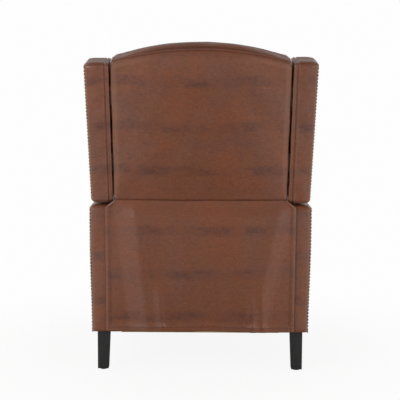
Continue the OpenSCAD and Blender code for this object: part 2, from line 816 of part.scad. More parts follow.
module seat_cushion() {
    outline = drawn_outline(arm_inner - cushion_gap, -cushion_front, -cushion_rear, cushion_corner, cushion_draw,
                            cushion_side_steps);
    color(leather) skin([for (r = cushion_rings(outline, cushion_edge, cushion_crown, cushion_edge_round, cushion_waist))
        [for (p = r[0]) [p[0], p[1], cushion_z + r[1]]]]);
}

// Seat plates, cam plates and pins

seat_strip_height = 37;
seat_strip_setback = 16;
seat_strip_front = seat_front - seat_strip_setback;
seat_arm_width = 20;
seat_arm_inset = 215;
seat_ear_step = 38;
seat_ear_inset = hanger_inset + seat_ear_step;
root_boss = 24;
spacer_step = 55;
spacer_high = 60;
spacer_low = 125;
spacer_diameter = 14;
spacer_hole = 6;
high_spacer = link_root + [spacer_step, -spacer_high];
low_spacer = link_root + [spacer_step, -spacer_low];
strip_middle = rail_z + seat_strip_height / 2;

module seat_plate() {
    side_plate(lane(0), steel) difference() {
        union() {
            translate([-seat_strip_front, rail_z]) square([seat_strip_front - seat_rear, seat_strip_height]);
            translate(link_root) circle(d = root_boss);
            strip([-seat_arm_inset, strip_middle], back_seat_pivot, seat_arm_width);
            strip([-seat_ear_inset, strip_middle], hanger_seat_pivot, seat_arm_width);
            strip([high_spacer[0], strip_middle], low_spacer, seat_arm_width);
            for (p = [back_seat_pivot, hanger_seat_pivot, low_spacer])
                translate(p) circle(d = seat_arm_width * boss_share);
        }
        for (p = [link_root, back_seat_pivot, hanger_seat_pivot]) translate(p) circle(d = bore);
        for (p = [high_spacer, low_spacer]) translate(p) circle(d = spacer_hole);
    }
}

module left_seat_plate() { color(steel_grey) seat_plate(); }
module right_seat_plate() { color(steel_grey) mirror([1, 0, 0]) seat_plate(); }

cam_band = 26;
cam_steps = 24;
cam_bars = 12;
cam_margin = 11;
cam_hole = 30;
slot_clearance = 0.3;
cam_hole_shares = [0.45, 0.4];

// Point beside the cam joint's path, d to its left as it travels
function beside_cam(t, d) =
    let (s = 1 / cam_steps, u = along(cam_joint(t + s) - cam_joint(t - s))) cam_joint(t) + d * [-u[1], u[0]];
// Points that carry start halfway round the centre c, clockwise
function half_turn(c, start, n) = [for (i = [1:n - 1]) c + turned(start - c, -180 * i / n)];

// Slot that the cam joint's pin runs in, with round ends
module cam_slot() {
    r = pin_diameter / 2 + slot_clearance;
    polygon(concat(
        [for (k = [0:cam_steps]) beside_cam(k / cam_steps, r)],
        half_turn(cam_joint(1), beside_cam(1, r), cam_bars),
        [for (k = [cam_steps:-1:0]) beside_cam(k / cam_steps, -r)],
        half_turn(cam_joint(0), beside_cam(0, -r), cam_bars)));
}

module cam_plate() {
    outer = [for (k = [0:cam_bars]) beside_cam(k / cam_bars, cam_band / 2)];
    side_plate(lane(3), steel) difference() {
        polygon(concat(outer, half_turn(cam_joint(1), beside_cam(1, cam_band / 2), cam_bars / 2),
            [beside_cam(1, -cam_band / 2), high_spacer + [0, cam_margin], high_spacer + [cam_margin, 0],
             low_spacer + [cam_margin, 0], low_spacer - [0, cam_margin]]));
        cam_slot();
        translate(lerp(lerp(high_spacer, low_spacer, cam_hole_shares[0]), cam_joint(0.5), cam_hole_shares[1]))
            circle(d = cam_hole);
        for (p = [high_spacer, low_spacer]) translate(p) circle(d = spacer_hole);
    }
}

module left_cam_plate() { color(steel_grey) cam_plate(); }
module right_cam_plate() { color(steel_grey) mirror([1, 0, 0]) cam_plate(); }

module seat_spacers() {
    color(steel_grey) both_sides() for (p = [high_spacer, low_spacer]) side_plate(lane(0) + steel, lane(3) - lane(0) - steel)
        difference() {
            translate(p) circle(d = spacer_diameter);
            translate(p) circle(d = spacer_hole);
        }
}

module seat_pins() {
    color(steel_grey) both_sides() {
        pin(link_root, lane(0), lane(1) + steel);
        for (p = [back_seat_pivot, hanger_seat_pivot]) {
            pin(p, lane(0), bracket_x + steel);
            pin(p, lane(0) + steel, bracket_x - plate_gap, collar_diameter);
        }
    }
}

// Hangers

hanger_width = 20;
tube_diameter = 14;
tube_wall = 1.5;
hanger_tube_drop = 50;
long_tube_drop = 132;

module hanger_plate() {
    side_plate(bracket_x, steel) difference() {
        bossed([hanger_pivot, hanger_seat_pivot], hanger_width);
        translate(hanger_pivot) circle(d = bore);
        translate(hanger_seat_pivot) circle(d = bore);
    }
}

// Round tube across the chair between the inner faces of two links
module cross_tube(p, half) {
    side_plate(-half, 2 * half) difference() {
        translate(p) circle(d = tube_diameter);
        translate(p) circle(d = tube_diameter - 2 * tube_wall);
    }
}

module left_hanger() { color(steel_grey) hanger_plate(); }
module right_hanger() { color(steel_grey) mirror([1, 0, 0]) hanger_plate(); }
module hanger_tube() {
    color(steel_grey) cross_tube(lerp(hanger_pivot, hanger_seat_pivot, hanger_tube_drop / hanger), bracket_x);
}

// Footrest linkage

// Flat link in a lane, with bores at the given joints; the first and last are its ends
module link(n, joints) {
    side_plate(lane(n), steel) difference() {
        bossed([joints[0], joints[len(joints) - 1]], link_width);
        for (p = joints) translate(p) circle(d = bore);
    }
}

module left_long_link() { color(steel_grey) link(1, [link_root, mid_joint(0), end_joint(0)]); }
module right_long_link() { color(steel_grey) mirror([1, 0, 0]) link(1, [link_root, mid_joint(0), end_joint(0)]); }
module long_link_tube() {
    color(steel_grey) cross_tube(link_root + ahead(link_angle, long_tube_drop), lane(1));
}
module long_link_rivets() {
    color(steel_grey) both_sides() {
        pin(mid_joint(0), lane(1), lane(2) + steel);
        pin(end_joint(0), lane(1), lane(5) + steel);
    }
}

module left_cross_link() { color(steel_grey) link(2, [cam_joint(0), mid_joint(0), rest_joint(0)]); }
module right_cross_link() { color(steel_grey) mirror([1, 0, 0]) link(2, [cam_joint(0), mid_joint(0), rest_joint(0)]); }
module cross_link_rivets() {
    color(steel_grey) both_sides() {
        pin(cam_joint(0), lane(2), lane(3) + steel);
        pin(rest_joint(0), lane(2), lane(4) + steel);
    }
}

module left_outer_link() { color(steel_grey) link(5, [end_joint(0), low_joint(0)]); }
module right_outer_link() { color(steel_grey) mirror([1, 0, 0]) link(5, [end_joint(0), low_joint(0)]); }

// Footrest

board_step = 55;
board_rise = 20;
board_side_gap = 9;
flange_width = 16;
flange_rise = 10;
flange_drop = 110;
flange_margin = 4;
board_half = arm_inner - board_side_gap;
board_y = -root_inset - board_step;
board_top = rest_joint(0)[1] + board_rise;

module footrest_bracket() {
    top = board_top - flange_rise;
    low = board_top - flange_rise - flange_drop;
    side_plate(lane(4), steel) difference() {
        union() {
            bossed([rest_joint(0), low_joint(0)], link_width);
            polygon([rest_joint(0), low_joint(0), [board_y, low], [board_y, top]]);
        }
        translate(rest_joint(0)) circle(d = bore);
        translate(low_joint(0)) circle(d = bore);
    }
    translate([lane(4), board_y, low - flange_margin]) cube([flange_width, steel, top - low + 2 * flange_margin]);
}

module left_footrest_bracket() { color(steel_grey) footrest_bracket(); }
module right_footrest_bracket() { color(steel_grey) mirror([1, 0, 0]) footrest_bracket(); }
module footrest_rivets() { color(steel_grey) both_sides() pin(low_joint(0), lane(4), lane(5) + steel); }

module footrest_board() {
    color(timber) translate([-board_half, board_y - rest_board, board_top - rest_height])
        cube([2 * board_half, rest_board, rest_height]);
}

rest_corner = 14;
rest_crown = 4;
rest_waist = 1.5;
rest_draw = 1.5;
rest_edge_round = 6;

module footrest_pad() {
    outline = drawn_outline(arm_inner - rest_gap, board_top - rest_height, board_top, rest_corner, rest_draw,
                            cushion_side_steps);
    rear = board_y - rest_board - rest_clearance;
    color(leather) skin([for (r = cushion_rings(outline, rest_pad, rest_crown, rest_edge_round, rest_waist))
        [for (p = r[0]) [p[0], rear - r[1], p[1]]]]);
}

translate([0, frame_y, 0]) {
    left_arm();
    right_arm();
    front_cross_rail();
    rear_cross_rail();
    front_left_leg();
    front_right_leg();
    rear_left_leg();
    rear_right_leg();
    leg_glides();
    left_base_plate();
    right_base_plate();
    base_pins();
    outside_back();
    back_stiles();
    back_rails();
    back_webbing();
    inside_back();
    tuft_buttons();
    left_wing();
    right_wing();
    wing_brackets();
    left_back_bracket();
    right_back_bracket();
    rear_flap();
    front_seat_rail();
    rear_seat_rail();
    left_seat_rail();
    right_seat_rail();
    seat_springs();
    seat_deck();
    seat_cushion();
    left_seat_plate();
    right_seat_plate();
    left_cam_plate();
    right_cam_plate();
    seat_spacers();
    seat_pins();
    left_hanger();
    right_hanger();
    hanger_tube();
    left_long_link();
    right_long_link();
    long_link_tube();
    long_link_rivets();
    left_cross_link();
    right_cross_link();
    cross_link_rivets();
    left_outer_link();
    right_outer_link();
    left_footrest_bracket();
    right_footrest_bracket();
    footrest_rivets();
    footrest_board();
    footrest_pad();
}
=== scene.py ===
"""Looks of a wingback push-back recliner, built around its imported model.

Lengths in the classes are millimetres in the chair's own frame: X across, Y to the rear from the rear faces
of the arms, Z up from the floor. The leaning back has its own pair: v forwards from its rear face and w up
along the lean from the seam.
"""

from __future__ import annotations

import json
import logging
import math
from dataclasses import dataclass, field
from enum import Enum
from typing import Callable, Sequence

import bmesh
import bpy
import numpy as np
from mathutils import Matrix, Vector

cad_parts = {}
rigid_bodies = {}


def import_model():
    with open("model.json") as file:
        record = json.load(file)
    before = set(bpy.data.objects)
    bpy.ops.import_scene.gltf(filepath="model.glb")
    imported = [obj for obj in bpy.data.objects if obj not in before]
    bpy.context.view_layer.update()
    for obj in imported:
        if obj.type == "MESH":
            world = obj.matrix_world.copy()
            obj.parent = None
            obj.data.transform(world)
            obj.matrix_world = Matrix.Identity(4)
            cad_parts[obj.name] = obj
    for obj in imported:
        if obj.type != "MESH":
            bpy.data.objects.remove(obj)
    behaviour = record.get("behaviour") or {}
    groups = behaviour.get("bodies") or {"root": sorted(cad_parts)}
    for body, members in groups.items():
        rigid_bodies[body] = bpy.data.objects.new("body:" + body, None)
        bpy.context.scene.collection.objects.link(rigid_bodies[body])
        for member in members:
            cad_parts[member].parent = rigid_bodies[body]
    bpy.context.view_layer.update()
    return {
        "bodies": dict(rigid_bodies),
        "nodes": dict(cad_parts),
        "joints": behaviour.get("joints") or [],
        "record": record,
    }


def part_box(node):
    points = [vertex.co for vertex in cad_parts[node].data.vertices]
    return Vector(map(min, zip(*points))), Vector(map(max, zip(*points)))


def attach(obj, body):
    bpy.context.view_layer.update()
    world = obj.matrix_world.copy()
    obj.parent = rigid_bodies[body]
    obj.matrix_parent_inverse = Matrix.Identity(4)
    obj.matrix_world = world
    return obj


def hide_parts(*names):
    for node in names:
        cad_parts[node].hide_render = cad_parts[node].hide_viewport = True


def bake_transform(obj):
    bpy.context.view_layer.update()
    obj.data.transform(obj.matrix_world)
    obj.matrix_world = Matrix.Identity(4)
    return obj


LOG = logging.getLogger("recliner")
MM = 0.001
# A wave texture at scale 1 shows about this many bands in each metre.
WAVE_BANDS = 3.15
Array = np.ndarray
Socket = bpy.types.NodeSocket
Faces = list[tuple[int, ...]]


class Body(str, Enum):
    """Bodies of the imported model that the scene's own pieces ride on."""

    BASE = "base"
    BACK = "back"
    FLAP = "flap"
    SEAT = "seat"
    FOOTREST = "footrest"


class Slot(str, Enum):
    """Material slots of the record; no piece of the scene is given one."""

    LEATHER = "leather"


class Pattern(Enum):
    """What a finish's pattern follows."""

    OBJECT = "object"
    SURFACE = "surface"


class Side(Enum):
    """Side of the chair, as the sign of its X."""

    LEFT = 1
    RIGHT = -1


# Datum and small geometry


@dataclass(frozen=True)
class Datum:
    """Where the chair's own frame and its leaning back lie."""

    arm_rear: float
    lean: float = math.radians(13.5)
    seam_y: float = 6.0
    seam_z: float = 553.0

    def row(self, points: Array) -> Array:
        """Turns chair millimetres into metres of the row frame."""
        return (points + np.array([0.0, self.arm_rear, 0.0])) * MM

    def chair(self, points: Array) -> Array:
        """Turns metres of the row frame into chair millimetres."""
        return points / MM - np.array([0.0, self.arm_rear, 0.0])

    def on_back(self, x: Array, v: Array, w: Array) -> Array:
        """Places points of the leaning back in the chair's frame.

        Args:
            x: Places across.
            v: Distances in front of the back's rear face.
            w: Heights above the seam, along the lean.

        Returns:
            The points, one row each, in chair millimetres.
        """
        x, v, w = np.broadcast_arrays(x, v, w)
        cos, sin = math.cos(self.lean), math.sin(self.lean)
        return np.stack([x, self.seam_y - v * cos + w * sin, self.seam_z + v * sin + w * cos], axis=-1)

    def back_axes(self, points: Array) -> Array:
        """Gives chair points as x, v and w of the leaning back.

        Args:
            points: The points, in chair millimetres.

        Returns:
            Their x, v and w, one row each.
        """
        cos, sin = math.cos(self.lean), math.sin(self.lean)
        y, z = points[..., 1] - self.seam_y, points[..., 2] - self.seam_z
        return np.stack([points[..., 0], -y * cos + z * sin, y * sin + z * cos], axis=-1)


def smooth(t: Array | float) -> Array:
    """Eases a share from 0 to 1, flat at both ends."""
    s = np.clip(t, 0.0, 1.0)
    return s * s * (3 - 2 * s)


def hump(x: Array, centre: Array | float, width: float) -> Array:
    """Bell of height 1 round a centre."""
    return np.exp(-(((x - centre) / width) ** 2))


def rounded(points: Sequence[tuple[float, float]], radii: Sequence[float], steps: int = 8) -> Array:
    """Rounds the corners of a closed outline.

    Args:
        points: Corners, counterclockwise.
        radii: Radius at each corner, 0 for a sharp one.
        steps: Pieces of each corner's arc.

    Returns:
        The outline's points, one row each.
    """
    corners = np.array(points, float)
    found: list[Array] = []
    for i, (b, r) in enumerate(zip(corners, radii)):
        if r == 0:
            found.append(b)
            continue
        u, w = corners[i - 1] - b, corners[(i + 1) % len(corners)] - b
        u, w = u / np.linalg.norm(u), w / np.linalg.norm(w)
        half = math.acos(float(np.clip(u @ w, -1, 1))) / 2
        middle = u + w
        centre = b + middle / np.linalg.norm(middle) * r / math.sin(half)
        start = b + u * r / math.tan(half) - centre
        turn = (math.pi - 2 * half) * (-1 if u[0] * w[1] - u[1] * w[0] > 0 else 1)
        for k in range(steps + 1):
            a = turn * k / steps
            found.append(centre + np.array([start[0] * math.cos(a) - start[1] * math.sin(a),
                                            start[0] * math.sin(a) + start[1] * math.cos(a)]))
    return np.array(found)


def spread(rows: Array, gap: float, places: Sequence[tuple[float, float]] | None = None,
           reach: float = 7.0) -> Array:
    """Adds rows to a closed outline, so that none of its sides is longer than a gap.

    Args:
        rows: One row for each point, with its place in the first two columns.
        gap: Longest side that is left.
        places: Places that rows are added near, or None for everywhere.
        reach: How far round each place rows are added.

    Returns:
        The rows, the added ones in line with their neighbours in every column.
    """
    found = []
    for a, b in zip(rows, np.roll(rows, -1, axis=0)):
        near = places is None or any(np.linalg.norm((a + (b - a) * k)[:2] - np.array(place)) < reach
                                     for place in places for k in (0.0, 0.5, 1.0))
        count = max(1, math.ceil(np.linalg.norm((b - a)[:2]) / gap)) if near else 1
        found.extend(a + (b - a) * k / count for k in range(count))
    return np.array(found)


def outward(points: Array) -> Array:
    """Unit vectors that point out of a closed counterclockwise outline, one for each point."""
    tangent = np.roll(points, -1, axis=0) - np.roll(points, 1, axis=0)
    return np.stack([tangent[:, 1], -tangent[:, 0]], axis=1) / np.linalg.norm(tangent, axis=1)[:, None]


def inside_by(points: Array, outline: Array) -> Array:
    """Distance of each point from the nearest side of a closed outline.

    Args:
        points: The points, one row each.
        outline: The closed outline.

    Returns:
        The distances.
    """
    a, b = outline, np.roll(outline, -1, axis=0)
    side = b - a
    past = np.clip(((points[:, None] - a) * side).sum(-1) / np.maximum((side ** 2).sum(-1), 1e-9), 0, 1)
    return np.linalg.norm(points[:, None] - a - past[..., None] * side, axis=-1).min(axis=1)


def lengths_along(points: Array) -> Array:
    """Distance of each point along its outline, from the first."""
    steps = np.linalg.norm(np.diff(points, axis=0), axis=1)
    return np.concatenate([[0.0], np.cumsum(steps)])


@dataclass(frozen=True)
class Unevenness:
    """Smooth seeded unevenness, such as stuffed leather has, as a sum of waves."""

    seed: int
    wavelength: float
    waves: int = 16

    def at(self, points: Array) -> Array:
        """Gives the unevenness at some points, with a spread of about 1.

        Args:
            points: The points, one row each.

        Returns:
            The unevenness at each.
        """
        rng = np.random.default_rng(self.seed)
        way = rng.normal(size=(self.waves, 3))
        way /= np.linalg.norm(way, axis=1)[:, None]
        pace = 2 * math.pi / (self.wavelength * rng.uniform(0.7, 1.7, self.waves))
        phase = rng.uniform(0, 2 * math.pi, self.waves)
        return np.sin(points @ (way * pace[:, None]).T + phase).sum(axis=-1) / math.sqrt(self.waves / 2)


def ring_faces(rings: int, count: int) -> Faces:
    """Faces between closed rings of equal count."""
    return [(k * count + i, k * count + (i + 1) % count, (k + 1) * count + (i + 1) % count, (k + 1) * count + i)
            for k in range(rings - 1) for i in range(count)]


def loft(rings: Array) -> tuple[Array, Faces]:
    """Closed skin over rings of equal count, with a fan at each end.

    Args:
        rings: Points by ring and by place round the ring.

    Returns:
        The points and the faces.
    """
    count = rings.shape[1]
    flat = rings.reshape(-1, 3)
    points = np.vstack([flat, rings[0].mean(axis=0), rings[-1].mean(axis=0)])
    low, top, last = len(flat), len(flat) + 1, (len(rings) - 1) * count
    faces = ring_faces(len(rings), count)
    faces += [(low, (i + 1) % count, i) for i in range(count)]
    faces += [(top, last + i, last + (i + 1) % count) for i in range(count)]
    return points, faces


def grid_faces(rows: int, columns: int) -> Faces:
    """Faces of a grid of points."""
    return [(i * columns + j, i * columns + j + 1, (i + 1) * columns + j + 1, (i + 1) * columns + j)
            for i in range(rows - 1) for j in range(columns - 1)]


def tube(path: Array, radius: float, up: Array, closed: bool = True, sides: int = 8) -> tuple[Array, Faces]:
    """Round tube along a path, such as a length of piping.

    Args:
        path: Points of the tube's middle line.
        radius: Radius of the tube.
        up: Direction that the path never runs along.
        closed: Whether the path returns to its start.
        sides: Points round the tube.

    Returns:
        The points and the faces.
    """
    ahead, behind = np.roll(path, -1, axis=0), np.roll(path, 1, axis=0)
    if not closed:
        ahead[-1], behind[0] = path[-1], path[0]
    tangent = ahead - behind
    tangent /= np.linalg.norm(tangent, axis=1)[:, None]
    normal = up - tangent * (tangent @ up)[:, None]
    normal /= np.linalg.norm(normal, axis=1)[:, None]
    side = np.cross(tangent, normal)
    angles = 2 * math.pi * np.arange(sides) / sides
    rings = path[:, None] + radius * (np.cos(angles)[None, :, None] * normal[:, None]
                                      + np.sin(angles)[None, :, None] * side[:, None])
    if not closed:
        return loft(rings)
    return rings.reshape(-1, 3), ring_faces(len(path), sides) + [
        ((len(path) - 1) * sides + i, (len(path) - 1) * sides + (i + 1) % sides, (i + 1) % sides, i)
        for i in range(sides)]


# Making pieces


def piece_from(name: str, points: Array, faces: Faces, datum: Datum, wear: Array | None = None,
               uv: Array | None = None, mend: bool = True) -> bpy.types.Object:
    """Makes a smooth-shaded mesh object with its place in its mesh.

    Args:
        name: Name of the piece.
        points: Its points, in chair millimetres.
        faces: Its faces.
        datum: The chair's place in the row frame.
        wear: Share of rubbed finish and of painted highlight and painted shade at each point, or None.
        uv: Flat place of each point in metres, or None.
        mend: Whether its doubles are merged and its faces turned outwards.

    Returns:
        The object, linked to the scene.
    """
    mesh = bpy.data.meshes.new(name)
    mesh.from_pydata(datum.row(np.asarray(points, float)).tolist(), [], faces)
    # The attribute holds wear together with painted highlight and painted shade.
    layer = mesh.attributes.new("wear", "FLOAT", "POINT")
    layer.data.foreach_set("value", np.zeros(len(points)) if wear is None else np.asarray(wear, float))
    if uv is not None:
        sheet = mesh.uv_layers.new(name="UVMap")
        corners = np.zeros(len(mesh.loops), int)
        mesh.loops.foreach_get("vertex_index", corners)
        sheet.data.foreach_set("uv", np.asarray(uv, float)[corners].ravel())
    if mend:
        shell = bmesh.new()
        shell.from_mesh(mesh)
        bmesh.ops.remove_doubles(shell, verts=shell.verts, dist=1e-6)
        bmesh.ops.recalc_face_normals(shell, faces=shell.faces)
        shell.to_mesh(mesh)
        shell.free()
    mesh.shade_smooth()
    obj = bpy.data.objects.new(name, mesh)
    bpy.context.scene.collection.objects.link(obj)
    return obj


def points_of(obj: bpy.types.Object, datum: Datum) -> Array:
    """Reads a mesh object's points in chair millimetres.

    Args:
        obj: The object.
        datum: The chair's place in the row frame.

    Returns:
        The points, one row each.
    """
    flat = np.zeros(len(obj.data.vertices) * 3)
    obj.data.vertices.foreach_get("co", flat)
    return datum.chair(flat.reshape(-1, 3))


def put_points(obj: bpy.types.Object, points: Array, datum: Datum) -> None:
    """Writes a mesh object's points from chair millimetres."""
    obj.data.vertices.foreach_set("co", datum.row(points).ravel())
    obj.data.update()


def normals_of(obj: bpy.types.Object) -> Array:
    """Reads the unit normals at a mesh object's points."""
    return np.array([n.vector for n in obj.data.vertex_normals])


def finish_piece(obj: bpy.types.Object, material: bpy.types.Material, body: Body | None,
                 replaces: Sequence[str] = ()) -> bpy.types.Object:
    """Gives a piece its material and body, and hides the CAD nodes that it stands for.

    Args:
        obj: The piece.
        material: Its material.
        body: The body that it rides on, or None where it is left on no body.
        replaces: Names of the CAD nodes that it stands for.

    Returns:
        The same piece.
    """
    obj.data.materials.clear()
    obj.data.materials.append(material)
    if body is not None:
        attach(obj, body.value)
    if replaces:
        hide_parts(*replaces)
    LOG.info("%s follows %s with %d faces", obj.name, body.value if body else "two bodies", len(obj.data.polygons))
    return obj


def flatten(obj: bpy.types.Object) -> None:
    """Turns an object's evaluated shape into its plain mesh, with no modifiers left.

    Args:
        obj: The object.
    """
    mesh = bpy.data.meshes.new_from_object(obj.evaluated_get(bpy.context.evaluated_depsgraph_get()))
    obj.modifiers.clear()
    obj.data = mesh
    mesh.name = obj.name


def face_rearwards(obj: bpy.types.Object, face: int) -> None:
    """Turns all faces of an open sheet over where one of them doesn't point to the rear."""
    if obj.data.polygons[face].normal.y < 0:
        obj.data.flip_normals()


def mark_wear_and_painted_light(obj: bpy.types.Object, wear: Array) -> None:
    """Writes the share of wear and painted light at each point of a remeshed cover."""
    layer = obj.data.attributes.get("wear") or obj.data.attributes.new("wear", "FLOAT", "POINT")
    layer.data.foreach_set("value", wear.astype(np.float32))


# Node trees


def add(tree: bpy.types.NodeTree, kind: str, links: dict | None = None, **settings: object) -> bpy.types.Node:
    """Adds a node with its settings and inputs.

    Args:
        tree: The tree that takes the node.
        kind: The node's type.
        links: Value or socket for each input, by its name or number.
        settings: Values of the node's own properties.

    Returns:
        The node.
    """
    node = tree.nodes.new(kind)
    for name, value in settings.items():
        setattr(node, name, value)
    for key, value in (links or {}).items():
        socket = node.inputs[key]
        if isinstance(value, bpy.types.NodeSocket):
            tree.links.new(value, socket)
        else:
            socket.default_value = value
    return node


def reckoned(tree: bpy.types.NodeTree, first: Socket, *steps: tuple[str, Socket | float]) -> Socket:
    """Works a number out in a tree, step by step.

    Args:
        tree: The tree.
        first: The number to start from.
        steps: Operation and second number of each step.

    Returns:
        The result.
    """
    for operation, second in steps:
        first = add(tree, "ShaderNodeMath", {0: first, 1: second}, operation=operation).outputs[0]
    return first


def linear(code: str) -> tuple[float, float, float, float]:
    """Turns a colour from an sRGB hex code into linear light, with an alpha of 1."""
    shares = [int(code[i:i + 2], 16) / 255 for i in (1, 3, 5)]
    return (*(c / 12.92 if c <= 0.04045 else ((c + 0.055) / 1.055) ** 2.4 for c in shares), 1.0)


def per_metre(size: float) -> float:
    """Noise scale whose features have a size in millimetres."""
    return 1 / (size * MM)


# Finishes


@dataclass(frozen=True)
class Grain:
    """Irregular pattern at a real size in millimetres, drawn out along the axes whose stretch is below 1."""

    size: float
    detail: float = 2.0
    stretch: tuple[float, float, float] = (1.0, 1.0, 1.0)
    rough: float = 0.5
    twist: float = 0.0


@dataclass(frozen=True)
class Span:
    """Part of a named pattern's range, eased between two values and brought to a start and an end."""

    pattern: str
    low: float
    high: float
    start: float = 0.0
    end: float = 1.0


@dataclass(frozen=True)
class Finish:
    """What a material is made of.

    A finish has a base colour, irregular patterns, coats of colour that they lay over the base, a roughness that
    one of them varies, and bumps with a depth in millimetres and a strength, the lowest first.
    """

    name: str
    base: str
    grains: tuple[tuple[str, Grain], ...]
    coats: tuple[tuple[Span | str, str], ...]
    rough: Span
    bumps: tuple[tuple[str, float, float], ...]
    metallic: float = 0.0
    specular: float = 0.5
    follows: Pattern = Pattern.OBJECT

    def more(self, f: FinishTree) -> None:
        """Adds the finish's own patterns to the tree, where it has more than grains."""

    def make(self) -> bpy.types.Material:
        """Builds the material."""
        return FinishTree(self).close()


class FinishTree:
    """Material's node tree while it is being put together."""

    def __init__(self, finish: Finish) -> None:
        """Starts the material with its shader, its coordinates and its patterns.

        Args:
            finish: What the material is made of.
        """
        self.finish = finish
        self.material = bpy.data.materials.new(finish.name)
        self.material.use_nodes = True
        self.tree = self.material.node_tree
        self.tree.nodes.clear()
        place = add(self.tree, "ShaderNodeTexCoord").outputs
        self.place = place["Object"]
        if finish.follows is Pattern.SURFACE:
            flat = add(self.tree, "ShaderNodeSeparateXYZ", {0: place["UV"]}).outputs
            self.place = add(self.tree, "ShaderNodeCombineXYZ", {"X": flat[0], "Z": flat[1]}).outputs[0]
        self.patterns: dict[str, Socket] = {}
        for name, grain in finish.grains:
            drawn = add(self.tree, "ShaderNodeMapping", {"Vector": self.place, "Scale": grain.stretch}).outputs[0]
            self.patterns[name] = add(self.tree, "ShaderNodeTexNoise", {
                "Vector": drawn, "Scale": per_metre(grain.size), "Detail": grain.detail, "Roughness": grain.rough,
                "Distortion": grain.twist}).outputs["Fac"]
        finish.more(self)

    def share(self, given: Span | str) -> Socket:
        """Gives the value of a pattern or of a span of one.

        Args:
            given: The span, or a pattern's name.

        Returns:
            The value.
        """
        if isinstance(given, str):
            return self.patterns[given]
        return add(self.tree, "ShaderNodeMapRange", {
            "Value": self.patterns[given.pattern], "From Min": given.low, "From Max": given.high,
            "To Min": given.start, "To Max": given.end}, interpolation_type="SMOOTHSTEP").outputs[0]

    def close(self) -> bpy.types.Material:
        """Lays the coats over the base, adds the roughness and the bumps, and ends the material.

        Returns:
            The material.
        """
        colour, below = linear(self.finish.base), {}
        for share, coat in self.finish.coats:
            colour = add(self.tree, "ShaderNodeMix", {0: self.share(share), 6: colour, 7: linear(coat)},
                         data_type="RGBA").outputs[2]
        for name, depth, strength in self.finish.bumps:
            below = {"Normal": add(self.tree, "ShaderNodeBump", {
                "Height": self.patterns[name], "Distance": depth * MM, "Strength": strength, **below}).outputs[0]}
        shader = add(self.tree, "ShaderNodeBsdfPrincipled", {
            "Base Color": colour, "Roughness": self.share(self.finish.rough), "Metallic": self.finish.metallic,
            "Specular IOR Level": self.finish.specular, **below})
        add(self.tree, "ShaderNodeOutputMaterial", {"Surface": shader.outputs[0]})
        return self.material


def leather_coats(rubbed_and_highlit: str) -> tuple[tuple[Span | str, str], ...]:
    """Coats of the printed leather cloth.

    Args:
        rubbed_and_highlit: Colour that rubbing brings out along its edges, also laid on as painted highlight.

    Returns:
        The share and the colour of each coat.
    """
    # The last two coats follow the mesh's marks: the rubbed colour as wear and painted highlight, and near black
    # (#2A1610) as painted shade.
    return ((Span("patches", 0.46, 0.66, end=0.8), "#7F462A"), (Span("patches", 0.5, 0.32, end=0.7), "#704535"),
            (Span("mottle", 0.42, 0.74, end=0.5), "#583323"), (Span("hatch", 0.5, 0.75, end=0.4), "#583323"),
            (Span("hatch", 0.48, 0.26, end=0.32), rubbed_and_highlit), ("smudges", "#513029"), ("rubbed_and_highlit", rubbed_and_highlit),
            ("painted_shade", "#2A1610"))


@dataclass(frozen=True)
class FauxLeather(Finish):
    """Polyurethane-faced upholstery cloth, embossed and printed to look like waxed hide.

    The print is brown with faint warm patches, and repeats a level row of purplish smudges up the roll. The
    emboss is a fine pebble with a few soft creases, and the top coat gives a low gloss.
    """

    name: str = "faux_leather_brown"
    base: str = "#78462F"
    grains: tuple = (
        ("patches", Grain(105, 3, (0.75, 0.75, 1.1), 0.55)), ("mottle", Grain(9, 5, (0.55, 0.55, 1.0), 0.65, 0.6)),
        ("hatch", Grain(4.5, 4, (0.6, 0.6, 1.0), 0.6, 0.5)), ("creases", Grain(26, 3, (1, 1, 1), 0.5, 0.5)),
        ("wander", Grain(170, 2, (1, 1, 0.3))), ("clusters", Grain(52, 2, (0.55, 0.55, 1.0))),
        ("flecks", Grain(11, 5, (0.5, 0.5, 1.0), 0.7, 1.6)), ("rubs", Grain(26, 5, (0.3, 0.3, 1.0), 0.65, 0.8)))
    coats: tuple = leather_coats("#90634F")
    rough: Span = Span("mottle", 0.3, 0.75, 0.28, 0.42)
    bumps: tuple = (("pores", 0.13, 0.5), ("creases", 1.0, 0.45))
    specular: float = 0.52
    repeat: float = 138.0
    first_row: float = 647.0
    wander: float = 30.0
    pore: float = 2.2

    def more(self, f: FinishTree) -> None:
        """Adds the pores, the wear and the painted highlight and shade that the mesh holds, and the print's level
        rows of smudges.

        Args:
            f: The material's tree.
        """
        f.patterns["pores"] = add(f.tree, "ShaderNodeTexVoronoi", {
            "Vector": f.place, "Scale": per_metre(self.pore)}, feature="SMOOTH_F1").outputs["Distance"]
        # The mesh's attribute lightens as wear and painted highlight where it is above 0, and darkens as painted
        # shade where it is below 0.
        painted_light_and_wear = add(f.tree, "ShaderNodeAttribute", attribute_name="wear").outputs["Fac"]
        f.patterns["rubbed_and_highlit"] = reckoned(f.tree, painted_light_and_wear, ("MULTIPLY", 0.5))
        f.patterns["painted_shade"] = reckoned(f.tree, painted_light_and_wear, ("MULTIPLY", -0.55))
        up = add(f.tree, "ShaderNodeSeparateXYZ", {0: f.place}).outputs[2]
        f.patterns["rows"] = reckoned(
            f.tree, f.patterns["wander"], ("MULTIPLY", self.wander * MM), ("ADD", up),
            ("ADD", -(self.first_row + self.wander / 2) * MM), ("MULTIPLY", 2 * math.pi / (self.repeat * MM)),
            ("COSINE", 0.0))
        f.patterns["smudges"] = reckoned(
            f.tree, f.share(Span("flecks", 0.4, 0.62)), ("ADD", 0.2),
            ("MULTIPLY", f.share(Span("clusters", 0.42, 0.6))), ("ADD", 0.22),
            ("MULTIPLY", f.share(Span("rows", 0.55, 1.0))), ("MAXIMUM", f.share(Span("rubs", 0.54, 0.78, end=0.35))),
            ("MULTIPLY", 0.55))


